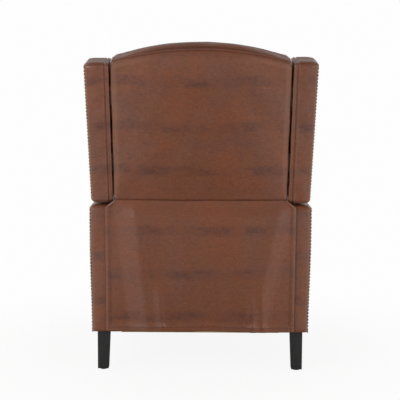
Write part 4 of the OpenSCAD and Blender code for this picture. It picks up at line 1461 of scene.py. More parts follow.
@dataclass
class OutsideBack:
    """Leather-covered outside of the back: a slightly stuffed panel and the band round its edge."""

    datum: Datum
    finishes: Finishes
    shape: BackShape = field(default_factory=BackShape)
    depth: float = 60.0
    bulge: float = 8.0
    edge: float = 9.0
    corner: float = 4.5
    wall: float = 3.5
    band_crown: float = 12.0
    valley: float = 3.0
    columns: int = 112
    rows: int = 92

    def build(self) -> None:
        """Makes the panel, its band and the piping along the arch."""
        half = self.shape.seam_half - self.edge
        spots = np.sin(np.linspace(-1, 1, self.columns) * math.pi / 2 * 0.94) / math.sin(math.pi / 2 * 0.94)
        shares = np.linspace(0, 1, self.rows) ** 0.92
        t, u = np.meshgrid(shares, spots, indexing="ij")
        flare = (self.shape.head_half - self.shape.seam_half) * t
        x = u * (half + flare)
        w = t * self.shape.arch(x, self.corner - 1.5, self.edge)
        near_top = np.clip(1 - (1 - t) * 4.2, 0, 1)
        edge_share = 1 - (1 - np.abs(u) ** 3) * (1 - near_top ** 3)
        v = -self.bulge * (1 - edge_share) * (0.35 + 0.65 * smooth(t * 5))
        points = self.datum.on_back(x, v, w).reshape(-1, 3)
        faces = grid_faces(self.rows, self.columns)
        cells = np.arange(self.rows * self.columns).reshape(self.rows, self.columns)
        loop = np.concatenate([cells[:, -1], cells[-1, -2::-1], cells[-2::-1, 0]]).tolist()
        rim = np.stack([x.ravel()[loop], w.ravel()[loop]], axis=1)
        tangent = np.gradient(rim, axis=0)
        tangent /= np.linalg.norm(tangent, axis=1)[:, None]
        out = np.stack([tangent[:, 1], -tangent[:, 0]], axis=1)
        up = np.clip(out[:, 1], 0, 1)
        mitre = np.minimum(1 / np.abs(out).max(axis=1), 1.32)[:, None]
        stations = [(self.edge * math.sin(a), self.edge * (1 - math.cos(a)), math.sin(2 * a))
                    for a in np.radians(np.linspace(0, 90, 8)[1:])]
        stations += [(self.edge, self.edge + (self.depth - self.edge) * k, 0.0) for k in np.linspace(0.04, 1, 18)]
        beside = (1 - np.abs(u)) * half
        below = (1 - t) * self.shape.side
        corners = smooth((np.abs(x) - 90) / 120)
        # Painted highlight along the panel's stuffed side edges and below its top corners, and painted shade along
        # the middle of its top edge.
        painted_light_and_wear = 0.7 * hump(beside, 3, 6) * smooth(t * 8) + 0.7 * hump(below, 7, 7) * corners
        wear = [(painted_light_and_wear - 0.4 * hump(below, 0, 9) * (1 - corners)).ravel()]
        last = loop
        crown = self.shape.crown(rim[:, 0]) * up
        for far, deep, edge_rub_and_highlight in stations:
            past = max(deep - self.edge, 0.0) / (self.depth - self.edge)
            puff = (self.band_crown * crown + 0.3) * math.sin(math.pi * 0.6 * past ** 0.75)
            reach = far + (puff - self.valley * hump(deep, self.edge + 5.0, 3.2)) * up
            edge = rim + out * mitre * reach[:, None]
            ring = self.datum.on_back(edge[:, 0], np.full(len(rim), deep), edge[:, 1])
            first = len(points)
            points = np.vstack([points, ring])
            faces += [(last[i], first + i, first + i + 1, last[i + 1]) for i in range(len(loop) - 1)]
            last = list(range(first, first + len(loop)))
            # On the band: painted highlight on its rounded edge at the sides, painted shade on that edge along the
            # top and in the valley behind the piping.
            on_top = smooth(up * 3)
            wear.append(0.6 * edge_rub_and_highlight * (1 - 1.6 * on_top) - 0.75 * hump(deep, self.edge + 6.0, 9.0) * on_top)
        cover = piece_from("outside_back_cover", points, faces, self.datum, np.concatenate(wear))
        face_rearwards(cover, (self.rows // 2) * (self.columns - 1) + self.columns // 2)
        roughen(cover, self.datum, Unevenness(5, 85.0), 0.5)
        solid = cover.modifiers.new("cover_wall", "SOLIDIFY")
        solid.thickness, solid.offset, solid.use_even_offset = self.wall * MM, -1.0, True
        flatten(cover)
        finish_piece(cover, self.finishes.leather, Body.BACK, ["outside_back"])
        self.piping()

    def piping(self) -> None:
        """Makes the piping that follows the arch."""
        x = np.linspace(self.shape.head_half - 5, -self.shape.head_half + 5, 90)
        w = self.shape.arch(x, self.corner, 1.0)
        path = self.datum.on_back(x, np.full(len(x), 8.5), w + 1.6)
        points, faces = tube(path, 2.6, np.array([0.0, math.cos(self.datum.lean), -math.sin(self.datum.lean)]), False)
        cord = piece_from("outside_back_piping", points, faces, self.datum, np.full(len(points), 0.5))
        finish_piece(cord, self.finishes.piping, Body.BACK)


@dataclass
class InsideBack:
    """Deeply buttoned inside of the back, stuffed between its buttons."""

    datum: Datum
    finishes: Finishes
    shape: BackShape = field(default_factory=BackShape)
    rear: float = 62.3
    rim: float = 56.0
    pad: float = 92.0
    bottom: float = -195.0
    lower_half: float = 243.0
    upper_half: float = 268.0
    top_gap: float = 3.0
    tuft_x: float = 65.0
    tuft_w: float = 80.0
    first_tuft: float = 10.0
    tuft_rows: int = 5
    tuft_columns: int = 2
    tuft_depth: float = 26.0
    crease: float = 14.0
    button: float = 12.0
    roll: float = 62.0
    pit_width: float = 22.0
    columns: int = 84
    rows: int = 104

    def tufts(self) -> Array:
        """Places of the buttons, as x and w."""
        reach = range(-self.tuft_columns, self.tuft_columns + 1)
        return np.array([(c * self.tuft_x, self.first_tuft + r * self.tuft_w)
                         for r in range(self.tuft_rows) for c in reach if (r + c + self.tuft_columns) % 2 == 0])

    def half(self, w: Array) -> Array:
        """Half width at a height, narrower between the arms."""
        return self.lower_half + (self.upper_half - self.lower_half) * smooth((w - 10) / 36)

    def field(self, x: Array, w: Array) -> Array:
        """How far inside the buttoned field a place lies, from 0 to 1."""
        rise = (w - self.first_tuft) / self.tuft_w
        return (smooth((self.tuft_columns + 0.6 - np.abs(x) / self.tuft_x) / 0.6) * smooth(rise + 0.6)
                * smooth(self.tuft_rows - 0.4 - rise))

    def pits(self, x: Array, w: Array, width: float) -> Array:
        """Pits round the buttons, 1 deep."""
        return np.max([hump(np.hypot(x - a, w - b), 0, width) for a, b in self.tufts()], axis=0)

    def lines(self, x: Array, w: Array, width: float) -> Array:
        """Creases between neighbouring buttons, 1 deep, of a width as a share of the pitch.

        Args:
            x: Places across.
            w: Heights above the seam, along the lean.
            width: Width of a crease as a share of the pitch.

        Returns:
            The depths.
        """
        u, s = x / self.tuft_x, (w - self.first_tuft) / self.tuft_w
        near = [hump(a - 2 * np.round(a / 2), 0, width) for a in (u + s, u - s)]
        return np.maximum(*near) * self.field(x, w)

    def depth(self, x: Array, w: Array) -> Array:
        """Depth of the stuffing at a place.

        Args:
            x: Places across.
            w: Heights above the seam, along the lean.

        Returns:
            The depths.
        """
        edge = np.minimum(np.minimum(self.half(w) - np.abs(x), w - self.bottom),
                          self.shape.arch(x) - self.top_gap - w)
        crown = np.sqrt(1 - (1 - np.clip(edge / self.roll, 0, 1)) ** 2)
        pit = self.pits(x, w, self.pit_width)
        return (self.rim + (self.pad - self.rim - 5) * crown - self.tuft_depth * pit
                - self.crease * self.lines(x, w, 0.2) * (1 - 0.8 * pit))

    def build(self) -> None:
        """Makes the stuffed cover with its creases, and the buttons."""
        u, t = np.linspace(-1, 1, self.columns), np.linspace(0, 1, self.rows)
        t, u = np.meshgrid(t, u, indexing="ij")
        flat_w = self.bottom + t * (self.shape.side + 18 - self.bottom)
        x = u * (self.half(flat_w) - 3)
        top = self.shape.arch(x, 14, 0) - self.top_gap - 2
        w = self.bottom + 2 + t * (top - self.bottom - 2)
        v = self.rear + self.depth(x, w)
        points = self.datum.on_back(x, v, w).reshape(-1, 3)
        faces = grid_faces(self.rows, self.columns)
        cells = np.arange(self.rows * self.columns).reshape(self.rows, self.columns)
        loop = np.concatenate([cells[0, :-1], cells[:-1, -1], cells[-1, :0:-1], cells[:0:-1, 0]]).tolist()
        last = loop
        for deep in (0.66, 0.33, 0.04):
            first = len(points)
            swell = 2.5 * math.sin(math.pi * deep)
            edge_x, edge_w = x.ravel()[loop], w.ravel()[loop]
            far = np.stack([edge_x, edge_w - 130], axis=1)
            far = far / np.linalg.norm(far, axis=1)[:, None] * swell
            ring = self.datum.on_back(edge_x + far[:, 0], self.rear + (v.ravel()[loop] - self.rear) * deep,
                                      edge_w + far[:, 1])
            points = np.vstack([points, ring])
            count = len(loop)
            faces += [(last[i], first + i, first + (i + 1) % count, last[(i + 1) % count]) for i in range(count)]
            last = list(range(first, first + count))
        points = np.vstack([points, points[last].mean(axis=0)])
        faces += [(last[i], len(points) - 1, last[(i + 1) % len(last)]) for i in range(len(last))]
        cover = piece_from("inside_back_cover", points, faces, self.datum)
        Stuffing(voxel=6.8, cap=16.0, share=0.8).fill(cover, self.datum, self.held)
        self.settle(cover)
        finish_piece(cover, self.finishes.leather, Body.BACK, ["inside_back"])
        self.buttons(cover)

    def held(self, points: Array) -> Array:
        """How firmly each point is held: at the buttons, along the creases and on the frame.

        Args:
            points: The points, in chair millimetres.

        Returns:
            The shares.
        """
        x, v, w = np.moveaxis(self.datum.back_axes(points), -1, 0)
        front = v > self.rear + 30
        held = np.where(front, np.maximum(self.pits(x, w, 16), 0.6 * self.lines(x, w, 0.12)), 0.0)
        return np.maximum(held, np.where(v < self.rear + 6, 1.0, 0.0))

    def settle(self, cover: bpy.types.Object) -> None:
        """Cuts the creases sharp again, keeps the cover clear of its neighbours and marks it lighter on its proudest
        stuffing.

        Args:
            cover: The stuffed cover.
        """
        points = points_of(cover, self.datum)
        x, v, w = np.moveaxis(self.datum.back_axes(points), -1, 0)
        front = smooth((v - self.rear - 36) / 16)
        pit = self.pits(x, w, 15)
        v = v - front * (4.5 * self.lines(x, w, 0.055) * (1 - pit) + 5 * pit)
        pleat = self.lines(x, w, 0.3) * (1 - self.lines(x, w, 0.1))
        v = v + front * 0.5 * pleat * np.sin(x / 2.3 + w / 3.1)
        v = np.clip(v, self.rear, self.rear + self.pad + 3)
        limit = self.half(w) + 3.5 + 3.6 * smooth((w - 20) / 40)
        x = x * (1 + 0.018 * smooth((w - 30) / 40))
        x = np.clip(x, -limit, limit)
        full = self.shape.crown(x)
        w = w + 7.0 * full * smooth((w - self.shape.side + 60) / 60)
        w = np.clip(w, self.bottom - 2, self.shape.arch(x) + 0.5 + 11.0 * full)
        put_points(cover, self.datum.on_back(x, v, w), self.datum)
        mark_wear_and_painted_light(cover, 0.35 * smooth((v - self.rear - self.pad + 8) / 10))

    def buttons(self, cover: bpy.types.Object) -> None:
        """Makes the covered buttons, each seated in its pit.

        Args:
            cover: The finished cover, which they are seated on.
        """
        flat = self.datum.back_axes(points_of(cover, self.datum))
        angles = 2 * math.pi * np.arange(20) / 20
        sizes = [(0.86, -3.0), (1.0, -1.0), (1.0, 1.2), (0.9, 3.4), (0.66, 5.2), (0.36, 6.2), (0.12, 6.5)]
        points, faces = [], []
        for a, b in self.tufts():
            near = (np.hypot(flat[:, 0] - a, flat[:, 2] - b) < 9) & (flat[:, 1] > self.rear + 25)
            seat = float(flat[near, 1].mean()) if near.any() else self.rear + 45
            rings = np.array([self.datum.on_back(a + self.button * r * np.cos(angles), seat + z,
                                                 b + self.button * r * np.sin(angles)) for r, z in sizes])
            shell, skin = loft(rings)
            faces += [tuple(i + len(points) for i in face) for face in skin]
            points.extend(shell.tolist())
        buttons = piece_from("back_buttons", np.array(points), faces, self.datum, np.full(len(points), 0.3))
        finish_piece(buttons, self.finishes.piping, Body.BACK, ["tuft_buttons"])


# Seat and footrest cushions


@dataclass
class BoxCushion:
    """Boxed cushion with piping along two edges: its outline, thickness and how it is placed."""

    datum: Datum
    finishes: Finishes
    name: str
    node: str
    body: Body
    half: float
    low: float
    high: float
    edge: float
    crown: float
    corner: float
    draw: float
    place: Callable[[Array, Array, Array], Array]
    read: Callable[[Array], tuple[Array, Array, Array]]
    stuffing: Stuffing
    pipe: float = 3.6

    def outline(self, inset: float, gap: float = 8.0) -> Array:
        """Outline with its sides drawn in at their middles.

        Args:
            inset: Distance inside the full outline.
            gap: Longest side that is left.

        Returns:
            The outline's points.
        """
        half, low, high = self.half - inset, self.low + inset, self.high - inset
        flat = spread(rounded([(-half, low), (half, low), (half, high), (-half, high)],
                              [max(self.corner - inset, 4)] * 4, 8), gap)
        centre = np.array([0.0, (low + high) / 2])
        reach = np.array([half, (high - low) / 2])
        share = (flat - centre) / reach
        pull = np.stack([np.sign(share[:, 0]) * (1 - share[:, 1] ** 2) * (np.abs(share[:, 0]) > 0.9),
                         np.sign(share[:, 1]) * (1 - share[:, 0] ** 2) * (np.abs(share[:, 1]) > 0.9)], axis=1)
        return flat - pull * self.draw

    def ring(self, inset: float, height: float, share: float | None = None) -> Array:
        """Ring of the cover.

        Args:
            inset: Distance inside the outline.
            height: Height above the underside.
            share: How far it reaches from the middle of the crown or of the underside, or None for all the way.

        Returns:
            The ring's points.
        """
        flat = self.outline(inset)
        if share is not None:
            flat = flat.mean(axis=0) + (flat - flat.mean(axis=0)) * share
        return self.place(flat[:, 0], flat[:, 1], np.full(len(flat), height))

    def inside(self, x: Array, y: Array) -> Array:
        """Distance of a place from the nearest side."""
        return np.minimum(self.half - np.abs(x), np.minimum(y - self.low, self.high - y))

    def seams(self) -> tuple[float, float]:
        """Heights of the two piped seams."""
        return self.pipe + 2.0, self.edge - 1.5

    def build(self) -> None:
        """Makes the stuffed cover and its piping."""
        low, high = self.seams()
        shares = (0.06, 0.3, 0.55, 0.75, 0.88, 0.96)
        rings = [self.ring(8, 0.0, s) for s in shares] + [self.ring(5, 0.0), self.ring(2.5, low)]
        rings += [self.ring(5, low + (high - low) * k) for k in (0.15, 0.35, 0.5, 0.65, 0.85)]
        rings += [self.ring(2.5, high), self.ring(6, high + 3)]
        rings += [self.ring(6, high + 3 + (self.crown - 4) * (1 - s ** 2.6), s) for s in shares[::-1]]
        points, faces = loft(np.array(rings))
        cover = piece_from(self.name, points, faces, self.datum)
        self.stuffing.fill(cover, self.datum, self.held)
        self.settle(cover)
        finish_piece(cover, self.finishes.leather, self.body, [self.node])
        for label, height in zip(("low", "high"), (low, high)):
            flat = self.outline(2.2, 6.0)
            path = self.place(flat[:, 0], flat[:, 1], np.full(len(flat), height))
            up = self.place(np.zeros(2), np.zeros(2), np.array([0.0, 1.0]))
            shell, skin = tube(path, self.pipe, up[1] - up[0])
            cord = piece_from(f"{self.name}_piping_{label}", shell, skin, self.datum, np.full(len(shell), 0.45))
            finish_piece(cord, self.finishes.piping, self.body)

    def held(self, points: Array) -> Array:
        """How firmly each point is held: on what it rests on, and along its seams.

        Args:
            points: The points, in chair millimetres.

        Returns:
            The shares.
        """
        x, y, height = self.read(points)
        low, high = self.seams()
        at_seam = np.maximum(hump(height, low, 4.0), hump(height, high, 4.5)) * (self.inside(x, y) < 14)
        return np.clip(np.maximum(at_seam * 1.2, np.where(height < 3, 1.0, 0.0)), 0, 1)

    def settle(self, cover: bpy.types.Object) -> None:
        """Keeps the cover in its room, gathers it a little along the seams and marks it lighter just above its upper
        seam near its edges.

        Args:
            cover: The stuffed cover.
        """
        points = points_of(cover, self.datum)
        x, y, height = self.read(points)
        high, edge = self.seams()[1], self.inside(x, y)
        gather = hump(height, high + 5, 7.0) * (edge < 26) * smooth(edge / 6 + 1)
        around = np.arctan2(y - (self.low + self.high) / 2, x) * 300
        height = height + 0.8 * gather * np.sin(around / 2.6 + 1.5 * np.sin(around / 23))
        height = np.clip(height, 0.0, self.edge + self.crown + 2)
        x = np.clip(x, -self.half - 2.0, self.half + 2.0)
        y = np.clip(y, self.low - 1.0, self.high + 2.0)
        put_points(cover, self.place(x, y, height), self.datum)
        mark_wear_and_painted_light(cover, 0.4 * hump(height, high + 4, 6.0) * (edge < 16))


def seat_cushion(datum: Datum, finishes: Finishes) -> BoxCushion:
    """The loose seat cushion, which rests on the deck between the arms."""
    deck = 373.0
    return BoxCushion(
        datum, finishes, "seat_cushion_cover", "seat_cushion", Body.SEAT, half=246.0, low=-712.0, high=-196.0,
        edge=100.0, crown=20.0, corner=26.0, draw=4.0, place=lambda x, y, h: np.stack([x, y, deck + h], axis=-1),
        read=lambda p: (p[:, 0], p[:, 1], p[:, 2] - deck), stuffing=Stuffing(voxel=6.0, cap=24.0, share=0.8))


def footrest_cushion(datum: Datum, finishes: Finishes) -> BoxCushion:
    """The footrest's padded panel, stapled to its board."""
    low, high = (datum.chair(np.array(corner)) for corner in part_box("footrest_pad"))
    return BoxCushion(
        datum, finishes, "footrest_cover", "footrest_pad", Body.FOOTREST, half=246.0, low=low[2], high=high[2],
        edge=37.0, crown=4.0, corner=14.0, draw=1.5, place=lambda x, y, h: np.stack([x, high[1] - h, y], axis=-1),
        read=lambda p: (p[:, 0], p[:, 2], high[1] - p[:, 1]), stuffing=Stuffing(voxel=5.0, cap=10.0, share=0.5),
        pipe=2.8)


# The rear flap


@dataclass(frozen=True)
class Fold:
    """One small fold of the flap: its places across at the seam and hem, width, depth, and start."""

    top: float
    hem: float
    width: float
    depth: float
    start: float


@dataclass(frozen=True)
class Flank:
    """Slope at one side of the flap, from the flat middle of the cloth back to its side hem."""

    top: float
    hem: float
    width: float
    depth: float

    def at(self, x: Array, share: Array) -> Array:
        """How far the cloth stands out, from none beyond the flank to its depth at the crest.

        Args:
            x: Places across.
            share: Shares of the way down.

        Returns:
            The distances.
        """
        crest = self.top + (self.hem - self.top) * share
        inward = np.sign(self.top) * (crest - x) + self.width

        def eased(past: Array, reach: float) -> Array:
            """Straight rise that begins gradually, over a reach on both sides of its start."""
            return np.where(past > reach, past, np.maximum(past + reach, 0) ** 2 / (4 * reach))

        slope = (eased(inward, 12.0) - eased(inward - self.width, 7.0)) / self.width
        return self.depth * slope * smooth(share * 7)


@dataclass
class RearFlap:
    """Sheet of leather cloth that hangs from the back's seam and hides the mechanism."""

    datum: Datum
    finishes: Finishes
    repeats: Repeats
    seam_half: float = 271.0
    half_width: float = 301.0
    taper: float = 2.0
    shoulder: float = 24.0
    hem_z: float = 129.5
    cloth: float = 2.4
    stitch_gap: float = 1.2
    tacks: tuple[float, ...] = (120.0, -168.0, -201.0)
    hem: float = 21.0
    side_hem: float = 15.0
    columns: int = 150
    rows: int = 130
    flanks: tuple[Flank, ...] = (Flank(214, 167, 56, 11.5), Flank(-257, -168, 43, 9.5))
    folds: tuple[Fold, ...] = (
        Fold(150, 121, 13, 3.2, 0.6), Fold(-150, -166, 12, 2.8, 0.65), Fold(-196, -200, 12, 3.0, 0.6),
        Fold(60, 30, 26, 1.6, 0.3), Fold(-40, -70, 24, 1.4, 0.4))

    hem_rise: tuple[tuple[float, float], ...] = (
        (-301, 0.5), (-262, 0.5), (-217, 0.2), (-155, 2.6), (-94, 5.0), (-31, 7.2), (31, 6.3), (94, 4.8), (155, 4.0),
        (215, 3.4), (262, 2.6), (301, 2.2))

    def drop(self) -> float:
        """Length from the seam to the hem."""
        return self.datum.seam_z - 0.3 - self.hem_z

    def half(self, down: Array) -> Array:
        """Half width at a distance below the seam.

        Args:
            down: Distances below the seam.

        Returns:
            The half widths.
        """
        slope = self.seam_half + (self.half_width - self.seam_half) * down / self.shoulder
        side = self.half_width - self.taper * (down - self.shoulder) / (self.drop() - self.shoulder)
        return np.where(down < self.shoulder, slope, side)

    def wave(self, x: Array, share: Array) -> Array:
        """How far the cloth stands out behind its plane.

        Args:
            x: Places across.
            share: Shares of the way down.

        Returns:
            The distances.
        """
        deepest = max(flank.depth for flank in self.flanks)
        found = sum(flank.at(x, share) for flank in self.flanks) - deepest * smooth(share * 7)
        for f in self.folds:
            begins = smooth((share - f.start) / (1 - f.start) * 2)
            found = found + f.depth * begins * hump(x, f.top + (f.hem - f.top) * share, f.width)
        slack = Unevenness(61, 120.0).at(np.stack([x, 0 * x, share * 160], axis=-1))
        return found + 0.9 * slack * smooth(share * 4)

    def surface(self, x: Array, down: Array) -> Array:
        """Rear face of the cloth.

        Args:
            x: Places across.
            down: Distances below the seam.

        Returns:
            The points, in chair millimetres.
        """
        share, above = down / self.drop(), self.drop() - down
        edge = self.half(down) - np.abs(x)
        doubled = 1.8 * np.maximum(smooth((self.hem - above) / 1.6 + 1), smooth((self.side_hem - edge) / 1.6 + 1))
        line = np.maximum(hump(above, self.hem - self.stitch_gap, 1.5),
                          hump(edge, self.side_hem - self.stitch_gap, 1.5))
        tacks = sum(hump(np.hypot(x - tack, (above - self.hem + 2) * 0.7), 0, 5.5) for tack in self.tacks)
        curl = -1.2 * smooth(1 - edge / 9) + 0.8 * smooth(1 - edge / 26)
        y = self.datum.seam_y + self.wave(x, share) + doubled * smooth(down / 20) - 1.5 * line + 2.6 * tacks + curl
        low = np.interp(x, *zip(*self.hem_rise)) * smooth((share - 0.6) / 0.4)
        return np.stack([x, y, self.datum.seam_z - 0.3 - down + low], axis=-1)

    def grid(self) -> tuple[Array, Array]:
        """Places across and down of the cloth's points, closer together along its hems.

        Returns:
            The places across and the distances below the seam.
        """
        side = self.half_width
        ends = np.concatenate([np.linspace(0, self.side_hem * 1.3, 10)[:-1],
                               np.linspace(self.side_hem * 1.3, side - 1, (self.columns - 18) // 2 + 1)])
        across = np.unique(np.concatenate([ends - side, side - ends])) / side
        down = np.concatenate([np.linspace(0, self.shoulder, 9)[:-1],
                               np.linspace(self.shoulder, self.drop() - self.hem * 1.3, self.rows - 18)[:-1],
                               np.linspace(self.drop() - self.hem * 1.3, self.drop(), 11)])
        d, u = np.meshgrid(down, across, indexing="ij")
        return u * self.half(d), d

    def build(self) -> None:
        """Makes the cloth and its hem stitching, and bakes each one's transform into its mesh."""
        x, down = self.grid()
        rows, columns = x.shape
        points = self.surface(x, down).reshape(-1, 3)
        flat = np.stack([x, -down], axis=-1).reshape(-1, 2) * MM
        edge = np.minimum(self.half(down) - np.abs(x), self.drop() - down).ravel()
        # Painted highlight along the folded hems, painted shade along the side stitch lines, and a dark cut edge:
        # partly the backing's own colour, partly painted shade along the flap's edge.
        wear = (0.8 * smooth(1 - edge / 6) - 1.7 * smooth(1.6 - edge)
                - 0.5 * hump(edge, self.side_hem - self.stitch_gap, 1.6))
        flap = piece_from("rear_flap_cloth", points, grid_faces(rows, columns), self.datum, wear, flat, mend=False)
        face_rearwards(flap, len(flap.data.polygons) // 2)
        solid = flap.modifiers.new("cloth", "SOLIDIFY")
        solid.thickness, solid.offset = self.cloth * MM, -1.0
        flatten(flap)
        finish_piece(flap, self.finishes.sheet_leather, None, ["rear_flap"])
        self.join(flap)
        across, lengths = self.half(down[:, 0]), np.diff(down[:, 0])
        stitches = self.stitching()
        self.join(stitches)

    def join(self, piece: bpy.types.Object) -> None:
        """Bakes a piece of the flap's transform into its mesh; the two points that it works out just below the seam
        are not used.
        """
        top, low = (tuple(self.datum.row(np.array([0.0, self.datum.seam_y, self.datum.seam_z - down])))
                    for down in (1.0, 46.0))
        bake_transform(piece)

    def stitching(self) -> bpy.types.Object:
        """Makes the stitches of the hem and of both sides.

        Returns:
            The stitches as one piece.
        """
        at_hem = self.drop() - self.hem + self.stitch_gap
        x = np.linspace(-self.half_width + self.side_hem, self.half_width - self.side_hem, 160)
        lines = [self.surface(x, np.full(len(x), at_hem))]
        down = np.linspace(self.shoulder + 6, at_hem, 130)
        for side in Side:
            lines.append(self.surface(side.value * (self.half(down) - self.side_hem + self.stitch_gap), down))
        rows = [Line(line + [0, 0.25, 0], [0, 1, 0]) for line in lines]
        return self.repeats.stitch_row("rear_flap_stitches", rows, self.finishes.thread, None)


# Frame, mechanism and hardware


@dataclass
class Joinery:
    """Timber, legs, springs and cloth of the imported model, dressed in their finishes."""

    nodes: dict[str, bpy.types.Object]
    finishes: Finishes

    def dress(self, material: bpy.types.Material, *names: str) -> None:
        """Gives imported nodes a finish.

        Args:
            material: The finish.
            names: Names of the nodes.
        """
        for name in names:
            slots = self.nodes[name].material_slots
            if not slots:
                self.nodes[name].data.materials.append(material)
            for slot in slots:
                slot.material = material
            LOG.info("%s dressed in %s", name, material.name)

    def build(self) -> None:
        """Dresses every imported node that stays."""
        f = self.finishes
        ends = [f"{end}_{side}_leg" for end in ("front", "rear") for side in ("left", "right")]
        self.dress(f.black_wood, *ends)
        self.dress(f.nylon, "leg_glides")
        self.dress(f.timber, "front_cross_rail", "rear_cross_rail", "back_stiles", "back_rails", "front_seat_rail",
                   "rear_seat_rail", "left_seat_rail", "right_seat_rail", "footrest_board")
        self.dress(f.webbing, "back_webbing")
        self.dress(f.deck, "seat_deck")
        self.dress(f.wire, "seat_springs")
        pairs = ("base_plate", "back_bracket", "seat_plate", "cam_plate", "hanger", "long_link", "cross_link",
                 "outer_link", "footrest_bracket")
        self.dress(f.steel, *[f"{side}_{pair}" for pair in pairs for side in ("left", "right")],
                   "hanger_tube", "long_link_tube", "wing_brackets")
        self.dress(f.zinc, "base_pins", "seat_spacers", "seat_pins", "long_link_rivets", "cross_link_rivets",
                   "footrest_rivets")


@dataclass
class Hardware:
    """Screws that hold the mechanism to the frame."""

    finishes: Finishes
    repeats: Repeats
    plate_x: float = 248.0
    bar_z: float = 235.0
    bar_ends: tuple[float, float] = (-80.0, -500.0)
    bar_shares: tuple[float, ...] = (0.06, 0.28, 0.5, 0.72, 0.94)
    strip_x: float = 215.0
    strip_z: float = 336.5
    strip_screws: tuple[float, ...] = (-540.0, -455.0, -370.0, -285.0)

    def build(self) -> None:
        """Sets the heads."""
        rear, front = self.bar_ends
        bar = np.array([[self.plate_x, rear + (front - rear) * s, self.bar_z] for s in self.bar_shares])
        self.repeats.screws("base_plate_screws", Line(bar, [-1, 0, 0]), self.finishes.zinc, Body.BASE)
        strip = np.array([[self.strip_x, y, self.strip_z] for y in self.strip_screws])
        self.repeats.screws("seat_plate_screws", Line(strip, [1, 0, 0]), self.finishes.zinc, Body.SEAT)


# Studio


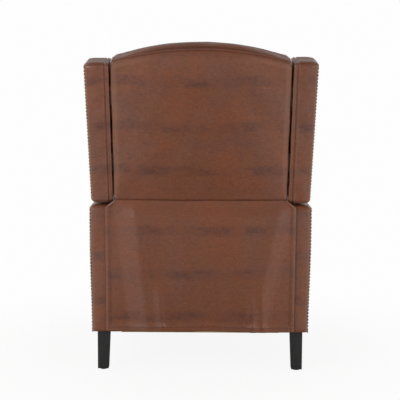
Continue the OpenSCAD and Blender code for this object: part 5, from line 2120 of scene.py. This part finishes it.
@dataclass
class Studio:
    """Pale floor, soft light and the camera behind the chair."""

    camera_at: tuple[float, float, float] = (-0.0088, 3.555, 0.92)
    pitch_down: float = 6.44
    yaw: float = 0.189
    roll: float = 0.266
    focal_share: float = 2.605
    sensor: float = 36.0
    soft: float = 0.46
    white: float = 0.985
    dim: float = 0.06
    strip: tuple[float, float] = (0.2, 0.6)
    lamps: tuple[tuple[str, tuple[float, float, float], float, float], ...] = (
        ("key", (2.4, 3.0, 2.2), 2.0, 50), ("fill", (-2.8, 2.6, 1.6), 2.2, 26),
        ("front_left", (2.6, -2.6, 2.2), 2.2, 30), ("front_right", (-2.6, -2.6, 2.0), 2.2, 24))

    def lamp(self, name: str, at: tuple[float, float, float], size: float, power: float) -> None:
        """Sets a square soft lamp that looks at the chair's middle.

        Args:
            name: Name of the lamp.
            at: Where it stands.
            size: Side of its square.
            power: Its watts.
        """
        data = bpy.data.lights.new(name, "AREA")
        data.shape, data.size, data.energy = "SQUARE", size, power
        lamp = bpy.data.objects.new(name, data)
        lamp.location = at
        lamp.rotation_euler = (Vector((0, 0, 0.5)) - Vector(at)).to_track_quat("-Z", "Y").to_euler()
        bpy.context.scene.collection.objects.link(lamp)

    def backdrop(self, tree: bpy.types.NodeTree) -> bpy.types.NodeSocket:
        """Share that is 1 for rays that show the background rather than light the chair."""
        path = add(tree, "ShaderNodeLightPath").outputs
        return reckoned(tree, path["Is Camera Ray"], *(("MAXIMUM", path[f"Is {way} Ray"])
                                                       for way in ("Glossy", "Transmission")))

    def beside(self, tree: bpy.types.NodeTree, across: bpy.types.NodeSocket, low: float,
               high: float) -> bpy.types.NodeSocket:
        """Brightness that reflections find: dim in the middle behind the chair, white at both sides."""
        apart = reckoned(tree, across, ("ABSOLUTE", 0.0))
        return add(tree, "ShaderNodeMapRange", {"Value": apart, "From Min": low, "From Max": high, "To Min": self.dim,
                                                "To Max": self.white}, interpolation_type="SMOOTHSTEP").outputs[0]

    def world(self, scene: bpy.types.Scene) -> None:
        """Makes a white backdrop all round, dim for reflections of the ceiling and of the wall behind the camera.

        Args:
            scene: The scene.
        """
        world = bpy.data.worlds.new("studio")
        scene.world = world
        world.use_nodes = True
        tree = world.node_tree
        tree.nodes.clear()
        way = add(tree, "ShaderNodeSeparateXYZ", {0: add(tree, "ShaderNodeTexCoord").outputs["Generated"]}).outputs
        ahead = add(tree, "ShaderNodeMapRange", {"Value": way[1], "From Min": -0.25, "From Max": 0.25, "To Min": 0.62,
                                                 "To Max": 0.0}, interpolation_type="SMOOTHSTEP").outputs[0]
        sides = self.beside(tree, way[0], 0.1, 0.32)
        ceiling = add(tree, "ShaderNodeMapRange", {"Value": way[2], "From Min": 0.15, "From Max": 0.65, "To Min": 1.0,
                                                   "To Max": 0.4}, interpolation_type="SMOOTHSTEP").outputs[0]
        dark = reckoned(tree, sides, ("MAXIMUM", ahead), ("MULTIPLY", ceiling))
        camera = add(tree, "ShaderNodeLightPath").outputs["Is Camera Ray"]
        mirrored = add(tree, "ShaderNodeBackground", {"Color": (1, 1, 1, 1), "Strength": dark}).outputs[0]
        white = add(tree, "ShaderNodeBackground", {"Color": (1, 1, 1, 1), "Strength": self.white}).outputs[0]
        soft = add(tree, "ShaderNodeBackground", {"Color": (1, 1, 1, 1), "Strength": self.soft}).outputs[0]
        shown = add(tree, "ShaderNodeMixShader", {0: camera, 1: mirrored, 2: white}).outputs[0]
        both = add(tree, "ShaderNodeMixShader", {0: self.backdrop(tree), 1: soft, 2: shown}).outputs[0]
        add(tree, "ShaderNodeOutputWorld", {"Surface": both})

    def build(self) -> None:
        """Makes the world, floor, lamps and camera."""
        scene = bpy.context.scene
        scene.view_settings.view_transform = "Standard"
        self.world(scene)
        self.floor()
        for lamp in self.lamps:
            self.lamp(*lamp)
        self.camera(scene)

    def floor(self) -> None:
        """Makes the pale floor, which takes a light shadow and fades into the backdrop."""
        mesh = bpy.data.meshes.new("floor")
        mesh.from_pydata([(-20, -20, 0), (20, -20, 0), (20, 20, 0), (-20, 20, 0)], [], [(0, 1, 2, 3)])
        floor = bpy.data.objects.new("floor", mesh)
        bpy.context.scene.collection.objects.link(floor)
        material = bpy.data.materials.new("floor_paper_white")
        material.use_nodes = True
        tree = material.node_tree
        tree.nodes.clear()
        place = add(tree, "ShaderNodeTexCoord").outputs["Object"]
        away = add(tree, "ShaderNodeVectorMath", {0: place}, operation="LENGTH").outputs["Value"]
        near = add(tree, "ShaderNodeMapRange", {"Value": away, "From Min": 0.35, "From Max": 1.2, "To Min": 0.08,
                                                "To Max": 0.0}, interpolation_type="SMOOTHSTEP").outputs[0]
        paper = add(tree, "ShaderNodeBsdfDiffuse", {"Color": linear("#F2F1EF")}).outputs[0]
        across = add(tree, "ShaderNodeSeparateXYZ", {0: place}).outputs[0]
        mirrored = add(tree, "ShaderNodeLightPath").outputs["Is Glossy Ray"]
        shine = add(tree, "ShaderNodeMix", {0: mirrored, 2: self.white, 3: self.beside(tree, across, *self.strip)},
                    data_type="FLOAT").outputs[0]
        glow = add(tree, "ShaderNodeEmission", {"Color": (1, 1, 1, 1), "Strength": shine}).outputs[0]
        lit = add(tree, "ShaderNodeMixShader", {0: near, 1: glow, 2: paper}).outputs[0]
        seen = add(tree, "ShaderNodeMixShader", {0: self.backdrop(tree), 1: paper, 2: lit}).outputs[0]
        add(tree, "ShaderNodeOutputMaterial", {"Surface": seen})
        mesh.materials.append(material)

    def camera(self, scene: bpy.types.Scene) -> None:
        """Makes the camera at the photograph's viewing angle, for a square picture.

        Args:
            scene: The scene.
        """
        data = bpy.data.cameras.new("camera")
        data.sensor_width, data.lens = self.sensor, self.focal_share * self.sensor
        camera = bpy.data.objects.new("camera", data)
        camera.location = self.camera_at
        aim = Matrix.Rotation(math.radians(180 + self.yaw), 3, "Z") @ Matrix.Rotation(
            math.radians(90 - self.pitch_down), 3, "X") @ Matrix.Rotation(math.radians(self.roll), 3, "Z")
        camera.rotation_euler = aim.to_euler()
        scene.collection.objects.link(camera)
        scene.camera = camera


def main() -> None:
    """Builds the chair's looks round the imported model, in order."""
    logging.basicConfig(level=logging.INFO, format="%(name)s: %(message)s")
    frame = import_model()
    datum = Datum(arm_rear=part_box("left_arm")[1].y / MM)
    Studio().build()
    finishes = Finishes()
    repeats = Repeats(datum)
    Joinery(frame["nodes"], finishes).build()
    Arms(datum, finishes, repeats).build()
    Wings(datum, finishes, repeats).build()
    OutsideBack(datum, finishes).build()
    InsideBack(datum, finishes).build()
    seat_cushion(datum, finishes).build()
    footrest_cushion(datum, finishes).build()
    RearFlap(datum, finishes, repeats).build()
    Hardware(finishes, repeats).build()


if __name__ == "__main__":
    main()
